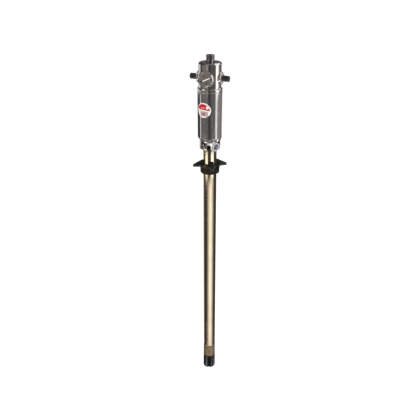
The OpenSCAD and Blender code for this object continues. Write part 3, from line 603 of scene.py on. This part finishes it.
materials["label_film"] = labelFinish(labelCard)


# A turned piece about the pump's own axis. Corners are radius, height and rounding in metres.
def onAxis(name, node, corners, finish, columns=160, joined=False, gap=0.02):
    skin = turnedSkin(corners, columns, joined=joined, gap=gap)
    return addPiece(name, [skin], materials[finish], cadNodes[node]["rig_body"], node)


topCap = {
    "neck": 10 * mm, "bore": 7 * mm, "roof": 4 * mm, "edge": 2.2 * mm, "foot": 0.5 * mm,
    "grooveLevel": 3.4 * mm, "groove": 1.4 * mm, "grooveDepth": 0.35 * mm, "grooveLip": 0.2 * mm,
    "dimple": 4 * mm, "dimpleDepth": 0.7 * mm,
}
low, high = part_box("top_cap")
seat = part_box("cylinder_head")[1].z
radius, grooveFloor = high.x, high.x - topCap["grooveDepth"]
grooveLow = seat + topCap["grooveLevel"]
grooveHigh = grooveLow + topCap["groove"]
onAxis("topCap", "top_cap", [
    (0, high.z - topCap["roof"], 0), (topCap["bore"], high.z - topCap["roof"], 0.5 * mm),
    (topCap["bore"], low.z, 0.3 * mm),
    (topCap["neck"], low.z, 0.4 * mm), (topCap["neck"], seat, 0),
    (radius - topCap["foot"], seat, 0), (radius, seat + topCap["foot"], 0.2 * mm),
    (radius, grooveLow - topCap["grooveLip"], 0.15 * mm), (grooveFloor, grooveLow, 0.1 * mm),
    (grooveFloor, grooveHigh, 0.1 * mm), (radius, grooveHigh + topCap["grooveLip"], 0.15 * mm),
    (radius, high.z - 0.2 * mm, topCap["edge"]), (radius - 2.6 * mm, high.z, 0.6 * mm),
    (topCap["dimple"], high.z, 0.3 * mm), (topCap["dimple"] - 0.4 * mm, high.z - 0.5 * mm, 0.2 * mm),
    (0, high.z - topCap["dimpleDepth"], 0),
], "dark_nickel", 96, gap=0.004)

airCylinder = {
    "wall": 6 * mm, "lowerEdge": 0.5 * mm, "upperEdge": 2.5 * mm,
    "grooveTop": 9.8 * mm, "grooveHeight": 1.6 * mm, "grooveDepth": 0.8 * mm,
}
low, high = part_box("air_cylinder")
radius, bore = high.x, high.x - airCylinder["wall"]
grooveTop = high.z - airCylinder["grooveTop"]
onAxis("airCylinder", "air_cylinder", [
    (bore, low.z, 0.3 * mm), (radius - 0.4 * mm, low.z, 0.1 * mm),
    (radius, low.z + airCylinder["lowerEdge"], 0.2 * mm),
    (radius, grooveTop - airCylinder["grooveHeight"], 0.3 * mm),
    (radius - airCylinder["grooveDepth"], grooveTop - airCylinder["grooveHeight"] + 0.3 * mm, 0.2 * mm),
    (radius - airCylinder["grooveDepth"], grooveTop - 0.3 * mm, 0.2 * mm), (radius, grooveTop, 0.3 * mm),
    (radius, high.z - airCylinder["upperEdge"], 0.9 * mm),
    (radius - airCylinder["upperEdge"], high.z, 0.5 * mm),
    (bore, high.z, 0.3 * mm),
], "cylinder_plate", 192, joined=True, gap=0.02)

tube = {"wall": 2.5 * mm, "spigotRadius": 19.75 * mm, "spigot": 14 * mm, "lowerEdge": 0.35 * mm,
        "upperEdge": 0.5 * mm}
low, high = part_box("suction_tube")
radius, bore = high.x, high.x - tube["wall"]
onAxis("suctionTube", "suction_tube", [
    (tube["spigotRadius"], low.z, 0.1 * mm), (radius - tube["lowerEdge"], low.z, 0.1 * mm),
    (radius, low.z + tube["lowerEdge"], 0.2 * mm), (radius, high.z - tube["upperEdge"], 0.2 * mm),
    (radius - tube["upperEdge"], high.z, 0.1 * mm), (bore, high.z, 0.2 * mm),
    (bore, low.z + tube["spigot"], 0.1 * mm), (tube["spigotRadius"], low.z + tube["spigot"], 0.1 * mm),
], "zinc_yellow", 160, joined=True, gap=0.02)

collar = {"edge": 0.5 * mm, "groove": 0.5 * mm}
low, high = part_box("lower_collar")
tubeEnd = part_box("suction_tube")[0].z
onAxis("lowerCollar", "lower_collar", [
    (tube["spigotRadius"], low.z, 0.1 * mm), (radius - collar["edge"], low.z, 0.1 * mm),
    (radius, low.z + collar["edge"], 0.2 * mm),
    (radius, tubeEnd - collar["groove"], 0.2 * mm), (radius - collar["groove"], tubeEnd, 0.1 * mm),
    (tube["spigotRadius"], tubeEnd, 0),
    (tube["spigotRadius"], high.z, 0.2 * mm), (bore, high.z, 0.2 * mm),
    (bore, low.z + tube["spigot"], 0.1 * mm),
    (tube["spigotRadius"], low.z + tube["spigot"], 0.1 * mm),
], "brown_brass", 160, joined=True, gap=0.02)
print("turned pieces about the axis: 4")


softened = {
    "cylinderHead": ("cylinder_head", "nickel_plate_plain", 0.5 * mm),
    "lowerHousing": ("lower_housing", "nickel_plate_plain", 0.6 * mm),
    "footValveBody": ("foot_valve_body", "black_steel_plain", 0.45 * mm),
    "ventPlug": ("vent_plug", "black_steel_plain", 0.25 * mm),
    "bleedScrew": ("bleed_screw", "steel", 0.25 * mm),
    "clampScrew": ("clamp_screw", "black_steel_plain", 0.3 * mm),
    "footStrainer": ("foot_strainer", "steel", 0.15 * mm),
    "pistonNut": ("piston_nut", "steel", 0.4 * mm),
}
for pieceName, (node, finish, width) in softened.items():
    body, slotName = cadNodes[node]["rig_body"], finish.replace("_plain", "")
    softenedCopy(pieceName, node, materials[finish], body, width)
print("softened copies:", len(softened))


leftWay = Vector(joints["left_detent_travel"]["axis"])
leftWay = leftWay if leftWay.x < 0 else -leftWay
leftWay = np.array((leftWay.x, leftWay.y, 0)) / math.hypot(leftWay.x, leftWay.y)
frontWay = np.array((-leftWay[1], leftWay[0], 0))
frontWay = frontWay if frontWay[1] < 0 else -frontWay
crossLevel = sum(corner.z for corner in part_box("exhaust_cap")) / 2


# A turned piece about a level axis through the head. Corners are radius, distance out and rounding.
def onCrossAxis(name, node, way, corners, finish):
    skin = turnedSkin(corners, 96, way, crossLevel, gap=0.004)
    return addPiece(name, [skin], materials[finish], cadNodes[node]["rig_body"], node)


sideCap = {
    "radius": 18 * mm, "neck": 9 * mm, "flat": 29 * mm, "bevel": 2 * mm, "point": 4.1 * mm,
    "step": 0.6 * mm, "stepRadius": 12.5 * mm, "socket": 6 * mm,
}
springHousing = {
    "radius": 8.5 * mm, "socket": 6 * mm, "edge": 1.2 * mm, "collar": 3.2 * mm,
    "groove": 0.5 * mm, "grooveLength": 4 * mm, "grooveLip": 0.6 * mm, "dimple": 5.2 * mm,
    "dimpleDepth": 0.6 * mm,
}
for side, way in (("left", leftWay), ("right", -leftWay)):
    near, far = reachOf(side + "_side_cap", way)
    capFace, radius, step = far, sideCap["radius"], far - sideCap["step"]
    onCrossAxis(side + "SideCap", side + "_side_cap", way, [
        (0, near + 1 * mm, 0), (sideCap["point"], near, 0.1 * mm),
        (sideCap["neck"], near, 0.5 * mm), (sideCap["neck"], sideCap["flat"], 0),
        (radius - 0.3 * mm, sideCap["flat"], 0.1 * mm), (radius, sideCap["flat"] + 0.3 * mm, 0.1 * mm),
        (radius, far - sideCap["bevel"], 0.8 * mm), (radius - sideCap["bevel"], far, 0.8 * mm),
        (sideCap["stepRadius"] + 0.4 * mm, far, 0.2 * mm), (sideCap["stepRadius"], step, 0.2 * mm),
        (sideCap["socket"] + 3 * mm, step, 0.3 * mm),
        (sideCap["socket"] + 2.6 * mm, far, 0.2 * mm), (0, far, 0),
    ], "nickel_plate")
    near, far = reachOf(side + "_spring_housing", way)
    radius, collarFoot = springHousing["radius"], far - springHousing["collar"]
    grooveFloor, grooveNear = radius - springHousing["groove"], collarFoot - springHousing["grooveLength"]
    onCrossAxis(side + "SpringHousing", side + "_spring_housing", way, [
        (0, near, 0), (springHousing["socket"], near, 0.2 * mm), (springHousing["socket"], capFace, 0),
        (radius - 0.4 * mm, capFace, 0.1 * mm), (radius, capFace + 0.4 * mm, 0.2 * mm),
        (radius, grooveNear, 0.3 * mm),
        (grooveFloor, grooveNear + springHousing["grooveLip"], 0.2 * mm),
        (grooveFloor, collarFoot - springHousing["grooveLip"], 0.2 * mm), (radius, collarFoot, 0.3 * mm),
        (radius, far - 0.2 * mm, springHousing["edge"]), (radius - 1.6 * mm, far, 0.4 * mm),
        (springHousing["dimple"], far, 0.3 * mm),
        (springHousing["dimple"] - 0.4 * mm, far - springHousing["dimpleDepth"], 0.2 * mm),
        (0, far - springHousing["dimpleDepth"], 0),
    ], "black_steel")

exhaustCap = {
    "neck": 15 * mm, "bore": 12 * mm, "boreEnd": 4 * mm, "flat": 27.2 * mm, "columns": 480,
    "knurls": 60, "knurlDepth": 0.8 * mm, "knurlPitch": 2.4 * mm,
    "rim": 2.4 * mm, "lip": 1.7 * mm, "edge": 0.8 * mm,
    "rimRows": 30, "faceRows": 92, "knurlWear": 0.35,
    "slotLength": 28 * mm, "slotLow": 2.6 * mm, "slotHigh": 1.2 * mm, "slotDepth": 1.5 * mm,
    "slotWall": 0.5 * mm, "tilt": 24,
    "ringRadius": 19.0 * mm, "ringWidth": 0.7 * mm, "ringDepth": 0.5 * mm, "dish": 0.35 * mm,
    "holes": (2, 90, 10 * mm), "holeRadius": 1.6 * mm, "holeDepth": 2.6 * mm, "holeWall": 0.3 * mm,
    # a painted shade spot inside the slot's left end: its radius, inset from the end and drop below the middle
    "shadeSpotRadius": 3.3 * mm, "shadeSpotInset": 1.5 * mm, "shadeSpotBelow": 0.8 * mm,
}


# Profile rings round the cap's axis. On the rim the radius drops by the smaller of two crossed triangle waves.
# On the face the height drops inside a ring groove, a straight slot and round holes, all with sloping walls.
# Shade is painted near black at the slot's left end and inside the holes.
def exhaustCapSkin(values, near, far, radius):
    inner, innerWear = densify(*roundedLine([
        (nearAxis, far - values["boreEnd"], 0), (values["bore"], far - values["boreEnd"], 0.3 * mm),
        (values["bore"], near, 0.2 * mm),
        (values["neck"], near, 0.4 * mm), (values["neck"], values["flat"], 0),
        (radius - values["edge"], values["flat"], 0), (radius, values["flat"] + values["edge"], 0.2 * mm),
    ]), 0.006)
    rimEnd = far - values["rim"]
    rimHeights = np.linspace(values["flat"] + 1.0 * mm, rimEnd, values["rimRows"])
    rim = np.stack([np.full(values["rimRows"], radius), rimHeights], axis=1)
    lip, lipWear = roundedLine([
        (radius, rimEnd, 0.2 * mm), (radius - values["lip"], far, 0.3 * mm),
        (radius - 2 * values["lip"], far, 0),
    ], 3)
    faceRadii = np.linspace(radius - 2.1 * values["lip"], 0.1 * mm, values["faceRows"])
    face = np.stack([faceRadii, np.full(values["faceRows"], far)], axis=1)
    line = np.vstack([inner, rim, lip, face])
    onRim = np.zeros(len(line))
    onRim[len(inner):len(inner) + len(rim)] = 1
    onFace = np.zeros(len(line))
    onFace[-len(face):] = 1
    wear = np.r_[innerWear, np.full(len(rim), values["knurlWear"]), lipWear, np.zeros(len(face))]
    angle = np.linspace(0, 2 * math.pi, values["columns"], endpoint=False)[None, :]
    rho, height = line[:, :1] + 0 * angle, line[:, 1:] + 0 * angle
    turns = angle * values["knurls"] / (2 * math.pi)
    climb = height / values["knurlPitch"]
    waves = [1 - np.abs(2 * ((turns + way * climb) % 1) - 1) for way in (1, -1)]
    fade = (np.clip((height - values["flat"] - values["edge"]) / values["edge"], 0, 1)
            * np.clip((rimEnd - height) / values["edge"], 0, 1))
    rho = rho - onRim[:, None] * values["knurlDepth"] * (1 - np.minimum(*waves)) * fade
    tilt = math.radians(values["tilt"])
    x, y = rho * np.cos(angle - tilt), rho * np.sin(angle - tilt)
    acrossSlot = np.minimum((y + values["slotLow"]) / values["slotLow"],
                            (values["slotHigh"] - y) / values["slotWall"])
    alongSlot = 0.5 - (np.abs(x) - values["slotLength"] / 2) / values["slotWall"]
    drop = values["slotDepth"] * np.clip(np.minimum(acrossSlot, alongSlot), 0, 1)
    # Painted shade: near black within a spot at the slot's left end.
    fromShadeSpot = np.hypot(x + values["slotLength"] / 2 - values["shadeSpotInset"], y + values["shadeSpotBelow"])
    paintedShade = np.clip(2.5 - 2.5 * fromShadeSpot / values["shadeSpotRadius"], 0, 1)
    fromRing = values["ringRadius"] - rho
    drop = np.maximum(drop, values["ringDepth"] * np.clip(1 - np.abs(fromRing) / values["ringWidth"], 0, 1))
    drop = np.maximum(drop, values["dish"] * np.clip(fromRing / (1 * mm), 0, 1))
    count, first, reach = values["holes"]
    place = np.radians(first) + (np.arange(count) * 2 * math.pi / count)[:, None, None]
    fromHole = np.hypot(x - reach * np.cos(place), y - reach * np.sin(place)).min(axis=0) - values["holeRadius"]
    inHole = np.clip(0.5 - fromHole / values["holeWall"], 0, 1)
    drop = np.maximum(drop, values["holeDepth"] * inHole)
    # painted shade fills the holes
    paintedShade = np.maximum(paintedShade, inHole)
    skin = closedSkin(aroundAxis(rho, height - onFace[:, None] * drop, angle, frontWay, crossLevel), wear)
    paintedShade = onFace[:, None] * paintedShade
    skin["paintedShade"] = np.r_[paintedShade.ravel(), 0, 0]
    return skin


near, far = reachOf("exhaust_cap", frontWay)
low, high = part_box("exhaust_cap")
exhaustSkin = exhaustCapSkin(exhaustCap, near, far, (high.z - low.z) / 2)
addPiece("exhaustCap", [exhaustSkin], materials["nickel_plate"], "pump", "exhaust_cap", 35)
print("pieces on the cross axis: 5")


outletMount = [mount for mount in frame["record"]["mounts"] if mount["name"] == "fluid_outlet"][0]
outletBush = {
    "bore": 9.3 * mm, "floor": 15 * mm, "shank": 10.5 * mm, "shoulder": 27 * mm, "bevel": 1 * mm,
    "threadPitch": 1.4 * mm, "threadDepth": 0.55 * mm, "threadStart": 0.8 * mm, "columns": 96,
}
outletWay = np.array((outletMount["axis"][0], outletMount["axis"][1], 0))
outletWay /= np.linalg.norm(outletWay)
near, far = reachOf("outlet_bush", outletWay)
low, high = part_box("outlet_bush")
bushRadius, shoulder, wall = (high.z - low.z) / 2, outletBush["shoulder"], outletBush["bore"] + 0.1 * mm
bushPoints, bushWearAndBoreLight = roundedLine([
    (nearAxis, near, 0), (outletBush["shank"], near, 0.2 * mm), (outletBush["shank"], shoulder, 0),
    (bushRadius, shoulder, 0.2 * mm),
    (bushRadius, far - outletBush["bevel"], 0.3 * mm), (bushRadius - outletBush["bevel"], far, 0.3 * mm),
    (outletBush["bore"] + outletBush["bevel"], far, 0.3 * mm), (wall, far - 0.9 * mm, 0),
    (wall, far - outletBush["floor"], 0),
    (nearAxis, far - outletBush["floor"], 0),
])
bushPoints, bushWearAndBoreLight = densify(bushPoints, bushWearAndBoreLight, 0.35 * mm)
angle = np.linspace(0, 2 * math.pi, outletBush["columns"], endpoint=False)[None, :]
reach, height = bushPoints[:, :1], bushPoints[:, 1:]
inBore = (np.abs(reach - outletBush["bore"]) < 0.15 * mm) & (height < far - outletBush["threadStart"])
# Painted light: the bore's wall and floor take the pale worn colour in full, so the recess reads lit; elsewhere
# the share is edge wear.
bushWearAndBoreLight = np.maximum(bushWearAndBoreLight, ((reach < outletBush["bore"] + 0.2 * mm) & (height > near + 1 * mm))[:, 0])
thread = np.abs(2 * ((height / outletBush["threadPitch"] + angle / (2 * math.pi)) % 1) - 1)
threaded = reach + inBore * outletBush["threadDepth"] * thread
bushGrid = aroundAxis(threaded, height + 0 * angle, angle + 0 * reach, outletWay, outletMount["pos_m"][2])
bushSkin = closedSkin(bushGrid, bushWearAndBoreLight)
addPiece("outletBush", [bushSkin], materials["zinc_blue"], "pump", "outlet_bush")
print("outlet bush done")


adapter = {
    "hub": 32 * mm, "hubHeight": 8 * mm, "bore": 21.15 * mm, "wingTurn": 9.5,
    "tip": np.hypot(*cadPoints("bung_adapter")[:, :2].T).max(), "tipWidth": 10 * mm, "rootWidth": 18 * mm,
    "rootStart": 22.2 * mm, "rootHeight": 19 * mm, "rootFlat": 3 * mm, "tipHeight": 6 * mm,
    "edge": 1.6 * mm, "draft": 2.4 * mm, "blend": 1.2 * mm, "bodyRows": 44, "rimRows": 7, "underRows": 5,
    "threadRadius": 29.8 * mm, "threadDepth": 1.48 * mm, "pitch": 2.309 * mm, "threadRows": 150,
    "threadFade": 1.6 * mm,
    "threadEnd": -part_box("bung_adapter")[0].z, "overlap": 0.6 * mm,  # the thread's skin reaches into the body
}


# Rays from the axis. Along each ray the outline is the larger of the hub's circle and the wing's tapered plan,
# softly joined. The top is the larger of the hub's height and the wing's sloping ridge, which falls off towards
# its sides, and every rim is rounded.
def adapterBodySkin(values, columns=720):
    angle = np.linspace(0, 2 * math.pi, columns, endpoint=False)
    fromFirst = angle - math.radians(values["wingTurn"] - 90) + math.pi / 4
    fromWing = np.abs(fromFirst % (math.pi / 2) - math.pi / 4)
    along, across = np.cos(fromWing), np.sin(fromWing)
    tipCentre, tipRadius = values["tip"] - values["tipWidth"] / 2, values["tipWidth"] / 2
    taper = (values["rootWidth"] - values["tipWidth"]) / 2 / (tipCentre - values["rootStart"])
    sideReach = (values["rootWidth"] / 2 + taper * values["rootStart"]) / (across + taper * along)
    roundReach = tipCentre * along + np.sqrt(np.maximum(tipRadius ** 2 - (tipCentre * across) ** 2, 0))
    onTip = tipCentre * across < tipRadius
    wingReach = np.where(onTip, np.minimum(roundReach, sideReach), np.minimum(sideReach, tipCentre))
    outline = values["blend"] * np.logaddexp(wingReach / values["blend"], values["hub"] / values["blend"])
    outline = np.minimum(outline, values["tip"])
    share = np.linspace(0, 1, values["bodyRows"])[:, None]
    share = 1 - (1 - share) ** 1.5
    reach = values["bore"] + share * (outline - values["bore"])[None, :]
    x, y = reach * along, reach * across
    run = values["tip"] - values["rootStart"] - values["rootFlat"]
    slope = (values["rootHeight"] - values["tipHeight"]) / run
    ridge = np.minimum(values["rootHeight"], values["tipHeight"] + slope * (values["tip"] - x))
    halfWidth = values["rootWidth"] / 2 - taper * (x - values["rootStart"])
    flank = np.clip((halfWidth - np.abs(y)) / values["draft"], 0, 1)
    flank = flank * flank * (3 - 2 * flank)
    hubTop = values["hubHeight"] * np.clip((values["hub"] + 1 * mm - reach) / (3 * mm), 0.3, 1) ** 0.5
    height = np.maximum(hubTop, np.minimum(ridge * (0.35 + 0.65 * flank), ridge))
    rim = np.clip(1 - (outline[None, :] - reach) / values["edge"], 0, 1)
    height = height - values["edge"] * (1 - np.sqrt(1 - rim ** 2)) * 0.9
    side = height[-1:] * np.linspace(1, 0, values["rimRows"])[1:, None]
    bow = 1 - np.sin(np.linspace(0, math.pi, values["rimRows"])[1:, None])
    sideReach = outline[None, :] - values["edge"] * 0.12 * bow
    under = np.linspace(1, 0, values["underRows"])[1:, None]
    underReach = values["bore"] + under * (outline - values["bore"])[None, :]
    radii = np.vstack([reach, sideReach, underReach])
    heights = np.vstack([height, side, 0 * underReach])
    grid = np.stack([radii * np.cos(angle), radii * np.sin(angle), heights], axis=-1)
    worn = np.r_[np.clip((share[:, 0] - 0.9) * 8, 0, 1), np.full(len(side), 0.4), np.zeros(len(under))]
    return closedSkin(grid, worn, joined=True)


# A helical thread: the radius dips by a rounded triangle wave of height over pitch plus share of the turn, and
# the crests fade out at the lower end.
def adapterThreadSkin(values, columns=192):
    heights = np.linspace(values["overlap"], -values["threadEnd"], values["threadRows"])[:, None]
    angle = np.linspace(0, 2 * math.pi, columns, endpoint=False)[None, :]
    wave = np.abs(2 * ((heights / values["pitch"] + angle / (2 * math.pi)) % 1) - 1)
    dip = values["threadDepth"] * np.clip(wave * 1.35 - 0.2, 0, 1)
    end = np.clip((heights + values["threadEnd"]) / values["threadFade"], 0, 1)
    outer = values["threadRadius"] - dip - (1 - end) * (values["threadDepth"] * 0.9)
    inner = np.full((4, columns), values["bore"])
    innerHeights = np.linspace(-values["threadEnd"], values["overlap"], len(inner))[:, None] + 0 * angle
    radii, levels = np.vstack([outer + 0 * angle, inner]), np.vstack([heights + 0 * angle, innerHeights])
    grid = np.stack([radii * np.cos(angle), radii * np.sin(angle), levels], axis=-1)
    skin = closedSkin(grid, joined=True)
    # the crests take the worn colour: rubbed wear, and partly a painted golden glint
    skin["wear"] = np.r_[(1 - dip / values["threadDepth"]).ravel() ** 6, np.zeros(inner.size)]
    return skin


adapterSkins = [adapterBodySkin(adapter), adapterThreadSkin(adapter)]
addPiece("bungAdapter", adapterSkins, materials["cast_black"], "adapter", "bung_adapter", 50)
print("bung adapter done")


labelLow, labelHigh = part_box("label")
labelCentre = cadPoints("label").mean(axis=0)
labelPlace = {"radius": (labelHigh.z - labelLow.z) / 2, "film": 0.28 * mm, "lift": 0.02 * mm,
              "cardRadius": 23.5}
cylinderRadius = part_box("air_cylinder")[1].x
labelTurn = math.atan2(labelCentre[0], -labelCentre[1])
labelLevel = (labelLow.z + labelHigh.z) / 2


# A disc of rings, wrapped on the cylinder: the sine of the turn is the sideways distance over the radius. It
# goes out along the back and in along the front.
def labelSkin(values, columns=96, rings=28):
    reach = np.r_[np.linspace(0.02, 1, rings), np.linspace(1, 0.02, rings)][:, None] * values["radius"]
    lift = np.r_[np.zeros(rings), np.full(rings, values["film"])][:, None]
    lift[rings] -= values["film"] * 0.25
    angle = np.linspace(0, 2 * math.pi, columns, endpoint=False)[None, :]
    across, up = reach * np.cos(angle), reach * np.sin(angle)
    turn = labelTurn + np.arcsin(np.clip(across / cylinderRadius, -1, 1))
    radius = cylinderRadius + values["lift"] + lift
    grid = np.stack([radius * np.sin(turn), -radius * np.cos(turn), labelLevel + up], axis=-1)
    card = np.stack([across, up], axis=-1) / values["radius"] * values["cardRadius"]
    return closedSkin(grid, np.zeros(2 * rings), label=card)


addPiece("labelFilm", [labelSkin(labelPlace)], materials["label_film"], "pump", "label", 60)
print("label done")


slotOf = {part["node"]: part["material_slot"] for part in frame["record"]["subparts"]}
for node, cadObject in cadNodes.items():
    finish = slotOf[node]
    finish = finish + "_plain" if finish + "_plain" in materials else finish
    if cadObject.data.materials:
        cadObject.data.materials[0] = materials[finish]
    else:
        cadObject.data.materials.append(materials[finish])
print("finishes on", len(cadNodes), "nodes")


floorLook = {"flat": 14, "rise": 8, "columns": 64, "tone": (0.25, 0.25, 0.25), "glow": 0.93, "rough": 0.9}


# A wide dish about the pump's axis: flat, then rising as a quarter circle.
def floorSkin(flat, rise, columns):
    flatRings = np.linspace(0, flat, 8)
    bend = np.linspace(0, math.pi / 2, 16)[1:]
    reach = np.r_[flatRings, flat + rise * np.sin(bend)]
    height = np.r_[0 * flatRings, rise - rise * np.cos(bend)] + cadLow.z
    angle = np.linspace(0, 2 * math.pi, columns, endpoint=False)[None, :]
    reach, height = np.maximum(reach, 1e-3)[:, None], height[:, None] + 0 * angle
    points = np.stack([reach * np.cos(angle), reach * np.sin(angle), height], axis=-1)
    index = np.arange(points.shape[0] * columns).reshape(-1, columns)
    inner, outer = index[:-1], index[1:]
    quads = np.stack([inner, np.roll(inner, -1, 1), np.roll(outer, -1, 1), outer], axis=-1).reshape(-1, 4)
    return points.reshape(-1, 3), quads[:, ::-1]


floorPoints, floorFaces = floorSkin(floorLook["flat"], floorLook["rise"], floorLook["columns"])
floorMesh = bpy.data.meshes.new("floor")
floorMesh.from_pydata(floorPoints, [], floorFaces.tolist())
floorMesh.polygons.foreach_set("use_smooth", np.ones(len(floorMesh.polygons), bool))
floor = bpy.data.objects.new("floor", floorMesh)
bpy.context.scene.collection.objects.link(floor)
floorFinish, _, floorShader = newFinish("floor")
floorShader.inputs["Base Color"].default_value = (*floorLook["tone"], 1)
floorShader.inputs["Roughness"].default_value = floorLook["rough"]
floorShader.inputs["Specular IOR Level"].default_value = 0.0
floorShader.inputs["Emission Color"].default_value = (1, 1, 1, 1)
floorShader.inputs["Emission Strength"].default_value = floorLook["glow"]
floorMesh.materials.append(floorFinish)
floor.visible_glossy = floor.visible_diffuse = floor.visible_shadow = False
print("floor done")
